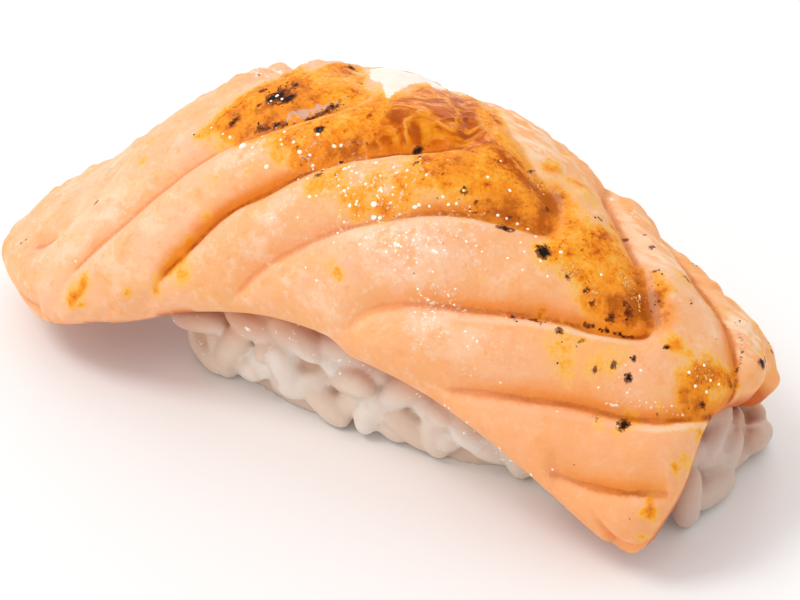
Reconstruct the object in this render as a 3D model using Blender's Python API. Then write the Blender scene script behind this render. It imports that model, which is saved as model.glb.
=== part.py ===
"""Salmon nigiri: a seared salmon slice draped over a pressed block of rice.

Metres, +Z up. The origin is on the rice's flat foot, near its middle. +X runs along
the slice towards its near end, and -Y is the front, where the slice hangs lowest.
"""

import math
import random

import bmesh
import bpy
import numpy as np
from mathutils import Matrix, Vector
from mathutils.bvhtree import BVHTree

# The slice is one sheet, a little thinner at its far end, and rounded off at its rim.
SLICE_THICKNESS = ((-0.049, 0.0046), (-0.040, 0.0053), (-0.030, 0.0060), (-0.020, 0.0063), (0.031, 0.0063))
RIM_SHARE = 0.24
RIM_ROUNDING = 0.0042
SLICE_HALF_LENGTH = 0.036
SLICE_HALF_WIDTH = 0.019
SLICE_STEPS_LONG = 150
SLICE_STEPS_ACROSS = 84
SLICE_TRIANGLES = 6800

# How the slice lies, as pairs of a place along X and a value there.
RIDGE_HEIGHT = (
    (-0.049, 0.0028), (-0.044, 0.0060), (-0.038, 0.0104), (-0.034, 0.0145), (-0.030, 0.0184),
    (-0.021, 0.0228), (-0.013, 0.0242), (-0.004, 0.0237), (0.006, 0.0203),
    (0.015, 0.0165), (0.023, 0.0129), (0.030, 0.0094),
)
RIDGE_SIDEWAYS = (
    (-0.049, -0.0055), (-0.038, -0.0020), (-0.024, 0.0), (0.0, 0.0), (0.016, -0.0007), (0.031, -0.0020),
)
BEND_RADIUS = ((-0.047, 0.026), (-0.036, 0.019), (-0.024, 0.014), (-0.010, 0.0126), (0.031, 0.0124))
BACK_TIGHTNESS = (
    (-0.049, 1.0), (-0.018, 1.0), (-0.012, 1.05), (-0.008, 1.04), (-0.003, 0.97),
    (0.003, 0.92), (0.009, 0.91), (0.0135, 0.74), (0.018, 0.64), (0.031, 0.62),
)
STEEPEST_SIDE = ((-0.047, 40.0), (-0.036, 58.0), (-0.024, 72.0), (-0.010, 78.0), (0.010, 80.0), (0.031, 86.0))
FRONT_WIDTH = (
    (-0.049, 0.0092), (-0.045, 0.0130), (-0.040, 0.0164), (-0.034, 0.0198), (-0.028, 0.0216),
    (-0.019, 0.0205), (-0.008, 0.0194), (-0.005, 0.0203), (0.006, 0.0188), (0.014, 0.0184),
    (0.020, 0.0186), (0.024, 0.0190), (0.028, 0.0180), (0.031, 0.0160),
)
BACK_WIDTH = (
    (-0.049, 0.0060), (-0.042, 0.0070), (-0.036, 0.0106), (-0.030, 0.0143), (-0.024, 0.0162), (0.0, 0.0178),
    (0.010, 0.0165), (0.018, 0.0148), (0.024, 0.0124), (0.031, 0.0090),
)
# Where the slice ends along X, by the share of the way from front edge (-1) to back edge (1).
FAR_END = ((-1.0, -0.0395), (-0.75, -0.0440), (-0.4, -0.0472), (0.0, -0.0479), (0.5, -0.0458), (1.0, -0.0415))
NEAR_END = ((-1.0, 0.0256), (-0.6, 0.0254), (0.0, 0.0258), (0.6, 0.0254), (1.0, 0.0236))
END_WAVE = 0.0005
END_WAVE_TURNS = 9.0
CORNER_SQUARENESS = 11.0
RIM_CROWDING = 0.98

# The flesh is a row of muscle blocks, and the seams between them are chevrons that point
# along +X. Each seam is its depth, the share of the depth that is left on the back side,
# and the places it runs through, along X and across from the ridge.
FAR_TIP_SEAM = (0.0004, 1.0, (
    (-0.0405, -0.0103), (-0.0378, -0.0098), (-0.0350, -0.0080), (-0.0335, -0.0050), (-0.0318, -0.0025),
))
FIRST_SEAM = (0.0006, 0.3, (
    (-0.0342, -0.0172), (-0.0300, -0.0132), (-0.0250, -0.0090), (-0.0205, -0.0058), (-0.0165, -0.0034),
    (-0.0138, 0.0002), (-0.0165, 0.0040), (-0.0205, 0.0085), (-0.0240, 0.0125),
))
SECOND_SEAM = (0.0010, 0.2, (
    (-0.0258, -0.0190), (-0.0224, -0.0152), (-0.0195, -0.0120), (-0.0160, -0.0096), (-0.0122, -0.0063),
    (-0.0085, -0.0040), (-0.0050, -0.0018), (-0.0036, 0.0004), (-0.0060, 0.0035), (-0.0120, 0.0095),
    (-0.0180, 0.0150),
))
THIRD_SEAM = (0.0009, 0.2, (
    (-0.0182, -0.0200), (-0.0155, -0.0162), (-0.0111, -0.0124), (-0.0076, -0.0100), (-0.0039, -0.0078),
    (-0.0004, -0.0056), (0.0035, -0.0036), (0.0064, -0.0020), (0.0050, 0.0), (0.0018, 0.0013),
    (-0.0018, 0.0034), (-0.0050, 0.0060), (-0.0095, 0.0100), (-0.0140, 0.0150),
))
FOURTH_SEAM = (0.0011, 0.9, (
    (-0.0064, -0.0185), (-0.0037, -0.0151), (0.0010, -0.0123), (0.0051, -0.0102), (0.0107, -0.0072),
    (0.0146, -0.0054), (0.0175, -0.0032), (0.0152, -0.0008), (0.0133, 0.0010), (0.0100, 0.0034),
    (0.0064, 0.0062), (0.0046, 0.0096), (0.0010, 0.0140),
))
FIFTH_SEAM = (0.0010, 0.6, (
    (0.0020, -0.0178), (0.0070, -0.0153), (0.0114, -0.0131), (0.0154, -0.0110), (0.0192, -0.0093),
    (0.0225, -0.0072), (0.0250, -0.0042), (0.0256, -0.0015), (0.0240, 0.0005), (0.0202, 0.0032),
    (0.0165, 0.0047), (0.0123, 0.0072), (0.0095, 0.0110), (0.0050, 0.0150),
))
NEAR_CORNER_SEAM = (0.0006, 1.0, ((0.0150, -0.0163), (0.0186, -0.0149), (0.0224, -0.0130), (0.0256, -0.0108)))
SEAMS = (FAR_TIP_SEAM, FIRST_SEAM, SECOND_SEAM, THIRD_SEAM, FOURTH_SEAM, FIFTH_SEAM, NEAR_CORNER_SEAM)
SEAM_BACK_START = 0.0015
SEAM_BACK_RUN = 0.0055
SEAM_INNER_SPREAD = 0.0017
SEAM_OUTER_SPREAD = 0.0008
SEAM_FADE = 0.12
LIP_SHARE = 0.4
LIP_OFFSET = 0.0019
LIP_SPREAD = 0.0014
BLOCK_BULGE = 0.0005
BLOCK_BULGE_REACH = 0.0030

# The rice block under the slice.
RICE_GAP = 0.0003
RICE_CENTRE_X = -0.0012
RICE_HALF_LENGTH = 0.0245
RICE_SQUARENESS = 7.0
RICE_FRONT_FOOT = (
    (-0.028, 0.0092), (-0.025, 0.0108), (-0.020, 0.0094), (-0.013, 0.0104), (-0.008, 0.0094),
    (-0.002, 0.0095), (0.003, 0.0095), (0.007, 0.0078), (0.016, 0.0074), (0.025, 0.0046),
)
RICE_BACK_FOOT = 0.0096
RICE_FOOT_INSET = 0.0002
RICE_FOOT_TURN = 0.035
RICE_SWELLING = 0.0009
RICE_COVERED_SHARE = 0.90
RICE_SHOULDER_DROP = 0.0018
RICE_SHOULDER_SHARPNESS = 10
CORE_CUTS = 11

# Cooked short rice grains, pressed into the block's sides.
GRAIN_LENGTH = 0.0062
GRAIN_WIDTH = 0.0031
GRAIN_DEPTH = 0.0027
GRAIN_SIDES = 5
GRAIN_RINGS = 4
GRAIN_COUNT = 130
GRAIN_DRAWS = 14
GRAIN_STANDS_OUT = (-0.0002, 0.0006)
GRAIN_SIZES = (0.92, 1.08)
GRAIN_LEAN = 0.75
GRAIN_TIP = 0.16
GRAIN_FLOOR = 0.0001
GRAIN_GROWTH = (1.14, 1.32, 1.28)
# How far a grain is pushed into the block and how much of its length is kept, tried in
# turn until it clears the slice.
GRAIN_RETREATS = ((0.0, 1.0), (0.0004, 1.0), (0.0008, 0.85), (0.0011, 0.7))
GRAIN_SEED = 8
WALL_STEEPNESS = 0.75

SALMON_COLOUR = (0.90, 0.42, 0.19, 1.0)
RICE_COLOUR = (0.80, 0.76, 0.70, 1.0)


def squared_circle(a, b, squareness):
    """Shares a and b over a square, drawn in so that the square's corners are rounded."""
    reach = np.maximum(np.abs(a), np.abs(b))
    corner = (np.abs(a) ** squareness + np.abs(b) ** squareness + 1e-12) ** (1 / squareness)
    return a * reach / corner, b * reach / corner


def through(points, x):
    """Smooth values at x of the curve through (place, value) pairs, with no overshoot."""
    places, values = np.array(points, float).T
    slopes = np.diff(values) / np.diff(places)
    product = slopes[:-1] * slopes[1:]
    inner = np.where(product > 0, 2 * product / (slopes[:-1] + slopes[1:] + 1e-12), 0.0)
    tangents = np.concatenate([slopes[:1], inner, slopes[-1:]])
    x = np.clip(x, places[0], places[-1])
    i = np.clip(np.searchsorted(places, x) - 1, 0, len(places) - 2)
    width = places[i + 1] - places[i]
    t = (x - places[i]) / width
    return (
        (1 + 2 * t) * (1 - t) ** 2 * values[i]
        + t * (1 - t) ** 2 * width * tangents[i]
        + t * t * (3 - 2 * t) * values[i + 1]
        + t * t * (t - 1) * width * tangents[i + 1]
    )


def middle(x, across):
    """Points of the slice's middle surface, by X and the distance across from its ridge."""
    radius = through(BEND_RADIUS, x) * np.where(across > 0, through(BACK_TIGHTNESS, x), 1.0)
    steepest = np.radians(through(STEEPEST_SIDE, x))
    distance = np.abs(across)
    bend = np.minimum(distance / radius, steepest)
    straight = np.maximum(distance - radius * steepest, 0.0)
    sideways = radius * np.sin(bend) + straight * np.cos(steepest)
    drop = radius * (1 - np.cos(bend)) + straight * np.sin(steepest)
    y = through(RIDGE_SIDEWAYS, x) + np.sign(across) * sideways
    return np.stack([x, y, through(RIDGE_HEIGHT, x) - drop], -1)


def outward(x, across, step=0.00005):
    """Unit normals of the middle surface, pointing away from the rice."""
    along = middle(x + step, across) - middle(x - step, across)
    over = middle(x, across + step) - middle(x, across - step)
    normal = np.cross(along, over)
    return normal / np.linalg.norm(normal, axis=-1, keepdims=True)


def curve_points(points, per_stretch=6):
    """A smooth line through the given points, as a dense run of short stretches."""
    places = np.array(points, float)
    padded = np.vstack([2 * places[0] - places[1], places, 2 * places[-1] - places[-2]])
    t = np.linspace(0, 1, per_stretch, endpoint=False)[:, None]
    runs = []
    for a, b, c, d in zip(padded, padded[1:], padded[2:], padded[3:]):
        bend = (2 * a - 5 * b + 4 * c - d) * t**2 + (3 * b - a - 3 * c + d) * t**3
        runs.append(0.5 * (2 * b + (c - a) * t + bend))
    return np.vstack([*runs, places[-1:]])


def seam_distance(points, x, across):
    """Signed distance to a seam, above zero on the chevron's outer side, and how fully
    the seam is formed there, since it fades out towards both of its ends."""
    line = curve_points(points)
    place = np.stack([x, across], -1)
    nearest = np.full(len(place), np.inf)
    side = np.ones(len(place))
    share = np.zeros(len(place))
    for number, (start, end) in enumerate(zip(line, line[1:])):
        run = end - start
        t = np.clip((place - start) @ run / (run @ run), 0, 1)
        off = place - start - t[:, None] * run
        distance = np.linalg.norm(off, axis=1)
        closer = distance < nearest
        nearest = np.where(closer, distance, nearest)
        turn = run[0] * off[:, 1] - run[1] * off[:, 0]
        side = np.where(closer, np.where(turn < 0, 1.0, -1.0), side)
        share = np.where(closer, (number + t) / (len(line) - 1), share)
    formed = np.clip(np.minimum(share, 1 - share) / SEAM_FADE, 0, 1)
    return nearest * side, formed * formed * (3 - 2 * formed)


def relief(x, across):
    """Height of the blocks, lips and seams over the plain sheet."""
    height = np.zeros(len(x))
    nearest = np.full(len(x), np.inf)
    back = np.clip((across - SEAM_BACK_START) / SEAM_BACK_RUN, 0, 1)
    for deepest, back_share, points in SEAMS:
        d, formed = seam_distance(points, x, across)
        formed = formed * (1 - back * (1 - back_share))
        depth = deepest * formed
        spread = np.where(d < 0, SEAM_INNER_SPREAD, SEAM_OUTER_SPREAD)
        height -= depth * np.exp(-((d / spread) ** 2))
        lip = LIP_SHARE * depth * np.exp(-(((d - LIP_OFFSET) / LIP_SPREAD) ** 2))
        height += np.where(d > 0, lip, 0.0)
        nearest = np.minimum(nearest, np.abs(d) + (1 - formed) * BLOCK_BULGE_REACH)
    return height + BLOCK_BULGE * (1 - np.exp(-((nearest / BLOCK_BULGE_REACH) ** 2)))


def slice_place(u, v):
    """X and the distance across for shares u along and v across, each from -1 to 1."""
    u, v = squared_circle(u, v, CORNER_SQUARENESS)
    far = through(FAR_END, v)
    near = through(NEAR_END, v)
    x = far + (u + 1) / 2 * (near - far) + END_WAVE * u * np.sin(END_WAVE_TURNS * v)
    across = np.where(v < 0, v * through(FRONT_WIDTH, x), v * through(BACK_WIDTH, x))
    return x, across


def rim_share(u, v):
    """Share of the full thickness, rounded off towards the rim."""
    to_end = (1 - np.abs(u)) * SLICE_HALF_LENGTH
    to_side = (1 - np.abs(v)) * SLICE_HALF_WIDTH
    near_end = np.clip(1 - to_end / RIM_ROUNDING, 0, 1)
    near_side = np.clip(1 - to_side / RIM_ROUNDING, 0, 1)
    near_rim = np.clip(np.hypot(near_end, near_side), 0, 1)
    return RIM_SHARE + (1 - RIM_SHARE) * np.sqrt(1 - near_rim**2)


def slice_points(flat):
    """Places the vertices of a flat two-sided sheet, u and v and the side, on the slice."""
    spread = RIM_CROWDING * math.pi / 2
    u, v = (np.sin(flat[:, i] * spread) / math.sin(spread) for i in (0, 1))
    x, across = slice_place(u, v)
    side = np.sign(flat[:, 2])
    share = rim_share(u, v)
    thickness = side * share * through(SLICE_THICKNESS, x) / 2
    lifted = np.where(side > 0, relief(x, across) * share, 0.0)
    return middle(x, across) + outward(x, across) * (thickness + lifted)[:, None]


def material(name, colour, roughness):
    made = bpy.data.materials.new(name)
    made.use_nodes = True
    shader = made.node_tree.nodes["Principled BSDF"]
    shader.inputs["Base Color"].default_value = colour
    shader.inputs["Roughness"].default_value = roughness
    return made


def place_vertices(mesh, function):
    """Moves every vertex of a mesh by a function of all their coordinates."""
    places = np.empty(len(mesh.vertices) * 3)
    mesh.vertices.foreach_get("co", places)
    mesh.vertices.foreach_set("co", function(places.reshape(-1, 3)).ravel())
    mesh.update()


def object_from(bm, name, finish):
    mesh = bpy.data.meshes.new(name)
    bm.to_mesh(mesh)
    bm.free()
    mesh.materials.append(finish)
    made = bpy.data.objects.new(name, mesh)
    bpy.context.scene.collection.objects.link(made)
    return made


def two_sided_sheet():
    """Two facing grids joined along their rims, from -1 to 1 each way."""
    bm = bmesh.new()
    for height in (1.0, -1.0):
        bmesh.ops.create_grid(
            bm,
            x_segments=SLICE_STEPS_LONG,
            y_segments=SLICE_STEPS_ACROSS,
            size=1.0,
            matrix=Matrix.Translation((0, 0, height)),
        )
    rims = [edge for edge in bm.edges if edge.is_boundary]
    bmesh.ops.bridge_loops(bm, edges=rims)
    bmesh.ops.recalc_face_normals(bm, faces=bm.faces)
    return bm


def build_slice():
    """The salmon slice, with its muscle blocks in relief on the upper side."""
    salmon = object_from(two_sided_sheet(), "salmon_slice", material("salmon", SALMON_COLOUR, 0.35))
    place_vertices(salmon.data, slice_points)
    salmon.data.shade_smooth()
    thinned = salmon.modifiers.new("fewer_faces", "DECIMATE")
    full = 2 * len(salmon.data.polygons)
    thinned.ratio = SLICE_TRIANGLES / full
    return salmon


def underside(x, across):
    """Points on the roof of the rice, a small gap below the slice."""
    return middle(x, across) - outward(x, across) * (through(SLICE_THICKNESS, x) / 2 + RICE_GAP)[:, None]


def rice_points(box):
    """Moves the surface points of a box, from -1 to 1 each way, onto the rice block."""
    a, b, c = box.T
    to_wall = np.maximum(np.abs(a), np.abs(b))
    a, b = squared_circle(a, b, RICE_SQUARENESS)
    level = (c + 1) / 2
    x = RICE_CENTRE_X + a * (RICE_HALF_LENGTH - RICE_FOOT_INSET * (1 - level) ** 3)
    width = np.where(b < 0, through(FRONT_WIDTH, x), through(BACK_WIDTH, x))
    roof = underside(x, b * width * RICE_COVERED_SHARE)
    roof[:, 2] -= RICE_SHOULDER_DROP * np.abs(a) ** RICE_SHOULDER_SHARPNESS
    foot_width = np.where(b < 0, through(RICE_FRONT_FOOT, x), RICE_BACK_FOOT)
    foot = np.stack([x, b * foot_width + x * RICE_FOOT_TURN, np.zeros(len(x))], -1)
    swelling = RICE_SWELLING * np.sin(math.pi * level) * to_wall**4
    points = roof * level[:, None] + foot * (1 - level)[:, None]
    points[:, 1] += b * swelling
    points[:, 0] += a * swelling
    return points


def rice_core():
    """The block itself, without the grains that stand out of it."""
    bm = bmesh.new()
    bmesh.ops.create_cube(bm, size=2.0)
    bmesh.ops.subdivide_edges(bm, edges=bm.edges, cuts=CORE_CUTS, use_grid_fill=True)
    core = object_from(bm, "rice_ball", material("rice", RICE_COLOUR, 0.5))
    place_vertices(core.data, rice_points)
    return core


def wall_triangles(core):
    """The core's triangles that face sideways, with their areas."""
    core.data.calc_loop_triangles()
    found = []
    for triangle in core.data.loop_triangles:
        if abs(triangle.normal.z) < WALL_STEEPNESS:
            corners = [core.data.vertices[i].co.copy() for i in triangle.vertices]
            found.append((corners, triangle.normal.copy(), triangle.area))
    return found


def spread_places(triangles, chance):
    """Seeded places on the walls, each the one farthest from the rest out of a few drawn."""
    areas = [area for corners, normal, area in triangles]
    chosen = []
    for _ in range(GRAIN_COUNT):
        best, best_room = None, -1.0
        for corners, normal, area in chance.choices(triangles, areas, k=GRAIN_DRAWS):
            s, t = sorted((chance.random(), chance.random()))
            place = corners[0] * s + corners[1] * (t - s) + corners[2] * (1 - t)
            room = min(((place - other).length for other, _ in chosen), default=1.0)
            if room > best_room:
                best, best_room = (place, normal), room
        chosen.append(best)
    return chosen


def grain_matrix(place, normal, lean, tip):
    """Lays a grain flat against a wall, turned by lean within it and tipped out of it."""
    level = Vector((0, 0, 1)).cross(normal).normalized()
    facing = Matrix((level, normal, level.cross(normal))).transposed().to_4x4()
    turned = Matrix.Rotation(lean, 4, "Y") @ Matrix.Rotation(tip, 4, "Z")
    return Matrix.Translation(place) @ facing @ turned


def grain_body():
    """One grain lying along X: a rod with few sides that narrows to blunt ends."""
    bm = bmesh.new()
    bmesh.ops.create_uvsphere(bm, u_segments=GRAIN_SIDES, v_segments=GRAIN_RINGS, radius=0.5)
    bmesh.ops.rotate(bm, verts=bm.verts, matrix=Matrix.Rotation(math.pi / 2, 3, "Y"))
    bmesh.ops.scale(bm, verts=bm.verts, vec=(GRAIN_LENGTH, GRAIN_DEPTH, GRAIN_WIDTH))
    return bm


def crosses(bm, matrix, growth, tree):
    """Whether a grain, grown a little for the gap, would cut into the slice."""
    grown = bm.copy()
    bmesh.ops.scale(grown, verts=grown.verts, vec=growth)
    bmesh.ops.transform(grown, matrix=matrix, verts=grown.verts)
    hit = bool(BVHTree.FromBMesh(grown).overlap(tree))
    grown.free()
    return hit


def settle_grain(place, normal, chance, tree):
    """A grain that clears the slice, pushed in or shortened where needed, or None."""
    lean = chance.gauss(0.0, GRAIN_LEAN)
    tip = chance.gauss(0.0, GRAIN_TIP)
    size = chance.uniform(*GRAIN_SIZES)
    stands_out = chance.uniform(*GRAIN_STANDS_OUT)
    for push, shorter in GRAIN_RETREATS:
        bm = grain_body()
        bmesh.ops.scale(bm, verts=bm.verts, vec=(size * shorter, size, size))
        matrix = grain_matrix(place + normal * (stands_out - push), normal, lean, tip)
        lowest = min((matrix @ vertex.co).z for vertex in bm.verts)
        lift = Matrix.Translation((0, 0, max(0.0, GRAIN_FLOOR - lowest)))
        if not crosses(bm, lift @ matrix, GRAIN_GROWTH, tree):
            bmesh.ops.transform(bm, matrix=lift @ matrix, verts=bm.verts)
            return bm
        bm.free()
    return None


def largest_body(mesh):
    """Keeps the one outer body of a mesh, so a sealed hollow or a loose scrap goes."""
    bm = bmesh.new()
    bm.from_mesh(mesh)
    left = set(bm.verts)
    bodies = []
    while left:
        front = [left.pop()]
        body = list(front)
        while front:
            linked = [edge.other_vert(vertex) for vertex in front for edge in vertex.link_edges]
            front = [vertex for vertex in set(linked) if vertex in left]
            left.difference_update(front)
            body.extend(front)
        bodies.append(body)
    bodies.sort(key=len)
    for body in bodies[:-1]:
        bmesh.ops.delete(bm, geom=body, context="VERTS")
    bm.to_mesh(mesh)
    bm.free()


def build_rice(salmon):
    """The rice block with its outer grains fused on."""
    core = rice_core()
    chance = random.Random(GRAIN_SEED)
    graph = bpy.context.evaluated_depsgraph_get()
    tree = BVHTree.FromObject(salmon, graph)
    grains = bpy.data.collections.new("grains")
    bpy.context.scene.collection.children.link(grains)
    finish = core.data.materials[0]
    for number, (place, normal) in enumerate(spread_places(wall_triangles(core), chance)):
        bm = settle_grain(place, normal, chance, tree)
        if bm is None:
            continue
        grain = object_from(bm, f"grain_{number}", finish)
        bpy.context.scene.collection.objects.unlink(grain)
        grains.objects.link(grain)
    joined = core.modifiers.new("join_grains", "BOOLEAN")
    joined.operation = "UNION"
    joined.operand_type = "COLLECTION"
    joined.collection = grains
    joined.solver = "EXACT"
    bpy.context.view_layer.update()
    graph = bpy.context.evaluated_depsgraph_get()
    fused = bpy.data.meshes.new_from_object(core.evaluated_get(graph))
    core.modifiers.clear()
    core.data = fused
    largest_body(fused)
    for grain in list(grains.objects):
        bpy.data.objects.remove(grain)
    bpy.data.collections.remove(grains)
    return core


def main():
    for leftover in list(bpy.data.objects):
        bpy.data.objects.remove(leftover)
    salmon = build_slice()
    build_rice(salmon)


main()
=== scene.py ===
"""Looks of the seared salmon nigiri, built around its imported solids."""

import math
import random

import bmesh
import bpy
import numpy as np
from mathutils import Matrix, Vector
from mathutils.bvhtree import BVHTree


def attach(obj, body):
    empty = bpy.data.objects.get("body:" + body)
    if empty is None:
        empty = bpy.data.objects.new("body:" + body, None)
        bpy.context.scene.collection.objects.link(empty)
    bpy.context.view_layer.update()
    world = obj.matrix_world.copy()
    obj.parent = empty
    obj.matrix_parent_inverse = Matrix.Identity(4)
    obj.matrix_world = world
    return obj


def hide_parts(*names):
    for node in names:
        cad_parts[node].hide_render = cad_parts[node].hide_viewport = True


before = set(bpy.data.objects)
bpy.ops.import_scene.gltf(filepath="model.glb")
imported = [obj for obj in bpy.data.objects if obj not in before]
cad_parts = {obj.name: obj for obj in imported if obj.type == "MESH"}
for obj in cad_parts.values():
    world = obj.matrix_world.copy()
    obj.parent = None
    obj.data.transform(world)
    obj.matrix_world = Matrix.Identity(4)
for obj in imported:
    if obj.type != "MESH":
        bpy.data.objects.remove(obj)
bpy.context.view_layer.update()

# The camera stands 35 degrees above the front right, 350 mm away. It comes first, so
# that marks on the food can be given by where they show in the 800 by 600 picture.
VIEW_AZIMUTH = math.radians(34.0)
VIEW_ELEVATION = math.radians(35.0)
VIEW_DISTANCE = 0.350
VIEW_WIDTH = 0.07227
AIM_RIGHT = -0.00822
AIM_UP = 0.00894
SENSOR_WIDTH = 36.0
PICTURE_WIDTH = 800
PICTURE_HEIGHT = 600
CLIP_START = 0.01

toward_camera = Vector((
    math.sin(VIEW_AZIMUTH) * math.cos(VIEW_ELEVATION),
    -math.cos(VIEW_AZIMUTH) * math.cos(VIEW_ELEVATION),
    math.sin(VIEW_ELEVATION),
))
camera_right = Vector((math.cos(VIEW_AZIMUTH), math.sin(VIEW_AZIMUTH), 0.0))
camera_up = toward_camera.cross(camera_right)
camera_data = bpy.data.cameras.new("camera")
camera_data.sensor_width = SENSOR_WIDTH
camera_data.lens = SENSOR_WIDTH * VIEW_DISTANCE / VIEW_WIDTH
camera_data.clip_start = CLIP_START
camera = bpy.data.objects.new("camera", camera_data)
camera.location = camera_right * AIM_RIGHT + camera_up * AIM_UP + toward_camera * VIEW_DISTANCE
camera.rotation_euler = toward_camera.to_track_quat("Z", "Y").to_euler()
bpy.context.scene.collection.objects.link(camera)
bpy.context.scene.camera = camera
bpy.context.scene.view_settings.view_transform = "Standard"


def in_picture(points):
    """Where points in metres show in the picture, in pixels from its top left."""
    offset = points - np.array(camera.location)
    depth = -(offset @ np.array(toward_camera))
    scale = PICTURE_WIDTH * VIEW_DISTANCE / VIEW_WIDTH / depth
    across = PICTURE_WIDTH / 2 + (offset @ np.array(camera_right)) * scale
    down = PICTURE_HEIGHT / 2 - (offset @ np.array(camera_up)) * scale
    return np.stack([across, down], -1)


# The salmon slice is one sheet of raw salmon, cut slantwise, laid over the rice and
# seared from above with a flame. Its muscle blocks swell a little between the seams of
# fat, which sink, and the near lip of each seam stands up.
SLICE_THICKNESS = (
    (-0.049, 0.0046), (-0.040, 0.0053), (-0.030, 0.0060), (-0.020, 0.0063), (0.031, 0.0063),
)
RIM_SHARE = 0.24
RIM_ROUNDING = 0.0042
SLICE_HALF_LENGTH = 0.036
SLICE_HALF_WIDTH = 0.019
UPPER_STEPS = (400, 200)
LOWER_STEPS = (100, 50)

# How the slice lies, as pairs of a place along X and a value there.
RIDGE_HEIGHT = (
    (-0.049, 0.0028), (-0.044, 0.0060), (-0.038, 0.0104), (-0.034, 0.0145), (-0.030, 0.0184),
    (-0.021, 0.0228), (-0.013, 0.0242), (-0.004, 0.0237), (0.006, 0.0203),
    (0.015, 0.0165), (0.023, 0.0129), (0.030, 0.0094),
)
RIDGE_SIDEWAYS = (
    (-0.049, -0.0055), (-0.038, -0.0020), (-0.024, 0.0), (0.0, 0.0), (0.016, -0.0007), (0.031, -0.0020),
)
BEND_RADIUS = ((-0.047, 0.026), (-0.036, 0.019), (-0.024, 0.014), (-0.010, 0.0126), (0.031, 0.0124))
BACK_TIGHTNESS = (
    (-0.049, 1.0), (-0.018, 1.0), (-0.012, 1.05), (-0.008, 1.04), (-0.003, 0.97),
    (0.003, 0.92), (0.009, 0.91), (0.0135, 0.74), (0.018, 0.64), (0.031, 0.62),
)
STEEPEST_SIDE = (
    (-0.047, 40.0), (-0.036, 58.0), (-0.024, 72.0), (-0.010, 78.0), (0.010, 80.0), (0.031, 86.0),
)
FRONT_WIDTH = (
    (-0.049, 0.0092), (-0.045, 0.0130), (-0.040, 0.0164), (-0.034, 0.0198), (-0.028, 0.0216),
    (-0.019, 0.0205), (-0.008, 0.0194), (-0.005, 0.0203), (0.006, 0.0188), (0.014, 0.0184),
    (0.020, 0.0186), (0.024, 0.0190), (0.028, 0.0180), (0.031, 0.0160),
)
BACK_WIDTH = (
    (-0.049, 0.0060), (-0.042, 0.0070), (-0.036, 0.0106), (-0.030, 0.0143), (-0.024, 0.0162), (0.0, 0.0178),
    (0.010, 0.0165), (0.018, 0.0148), (0.024, 0.0124), (0.031, 0.0090),
)
# Where the slice ends along X, by the share of the way from front edge (-1) to back edge (1).
FAR_END = (
    (-1.0, -0.0395), (-0.75, -0.0440), (-0.4, -0.0472), (0.0, -0.0479), (0.5, -0.0458), (1.0, -0.0415),
)
NEAR_END = ((-1.0, 0.0256), (-0.6, 0.0254), (0.0, 0.0258), (0.6, 0.0254), (1.0, 0.0236))
END_WAVE = 0.0005
END_WAVE_TURNS = 9.0
CORNER_SQUARENESS = 11.0
RIM_CROWDING = 0.86

# The flesh is a row of muscle blocks, and the seams between them are chevrons that point
# along +X. Each seam is its depth, the share of the depth that is left on the back side,
# and the places it runs through, along X and across from the ridge.
FAR_TIP_SEAM = (0.0004, 1.0, (
    (-0.0405, -0.0103), (-0.0378, -0.0098), (-0.0350, -0.0080), (-0.0335, -0.0050), (-0.0318, -0.0025),
))
FIRST_SEAM = (0.0006, 0.3, (
    (-0.0342, -0.0172), (-0.0300, -0.0132), (-0.0250, -0.0090), (-0.0205, -0.0058), (-0.0165, -0.0034),
    (-0.0138, 0.0002), (-0.0165, 0.0040), (-0.0205, 0.0085), (-0.0240, 0.0125),
))
SECOND_SEAM = (0.0010, 0.2, (
    (-0.0258, -0.0190), (-0.0224, -0.0152), (-0.0195, -0.0120), (-0.0160, -0.0096), (-0.0122, -0.0063),
    (-0.0085, -0.0040), (-0.0050, -0.0018), (-0.0036, 0.0004), (-0.0060, 0.0035), (-0.0120, 0.0095),
    (-0.0180, 0.0150),
))
THIRD_SEAM = (0.0009, 0.2, (
    (-0.0182, -0.0200), (-0.0155, -0.0162), (-0.0111, -0.0124), (-0.0076, -0.0100), (-0.0039, -0.0078),
    (-0.0004, -0.0056), (0.0035, -0.0036), (0.0064, -0.0020), (0.0050, 0.0), (0.0018, 0.0013),
    (-0.0018, 0.0034), (-0.0050, 0.0060), (-0.0095, 0.0100), (-0.0140, 0.0150),
))
FOURTH_SEAM = (0.0011, 0.9, (
    (-0.0064, -0.0185), (-0.0037, -0.0151), (0.0010, -0.0123), (0.0051, -0.0102), (0.0107, -0.0072),
    (0.0146, -0.0054), (0.0175, -0.0032), (0.0152, -0.0008), (0.0133, 0.0010), (0.0100, 0.0034),
    (0.0064, 0.0062), (0.0046, 0.0096), (0.0010, 0.0140),
))
FIFTH_SEAM = (0.0010, 0.6, (
    (0.0020, -0.0178), (0.0070, -0.0153), (0.0114, -0.0131), (0.0154, -0.0110), (0.0192, -0.0093),
    (0.0225, -0.0072), (0.0250, -0.0042), (0.0256, -0.0015), (0.0240, 0.0005), (0.0202, 0.0032),
    (0.0165, 0.0047), (0.0123, 0.0072), (0.0095, 0.0110), (0.0050, 0.0150),
))
NEAR_CORNER_SEAM = (0.0006, 1.0, (
    (0.0150, -0.0163), (0.0186, -0.0149), (0.0224, -0.0130), (0.0256, -0.0108),
))
SEAMS = (FAR_TIP_SEAM, FIRST_SEAM, SECOND_SEAM, THIRD_SEAM, FOURTH_SEAM, FIFTH_SEAM, NEAR_CORNER_SEAM)
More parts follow.
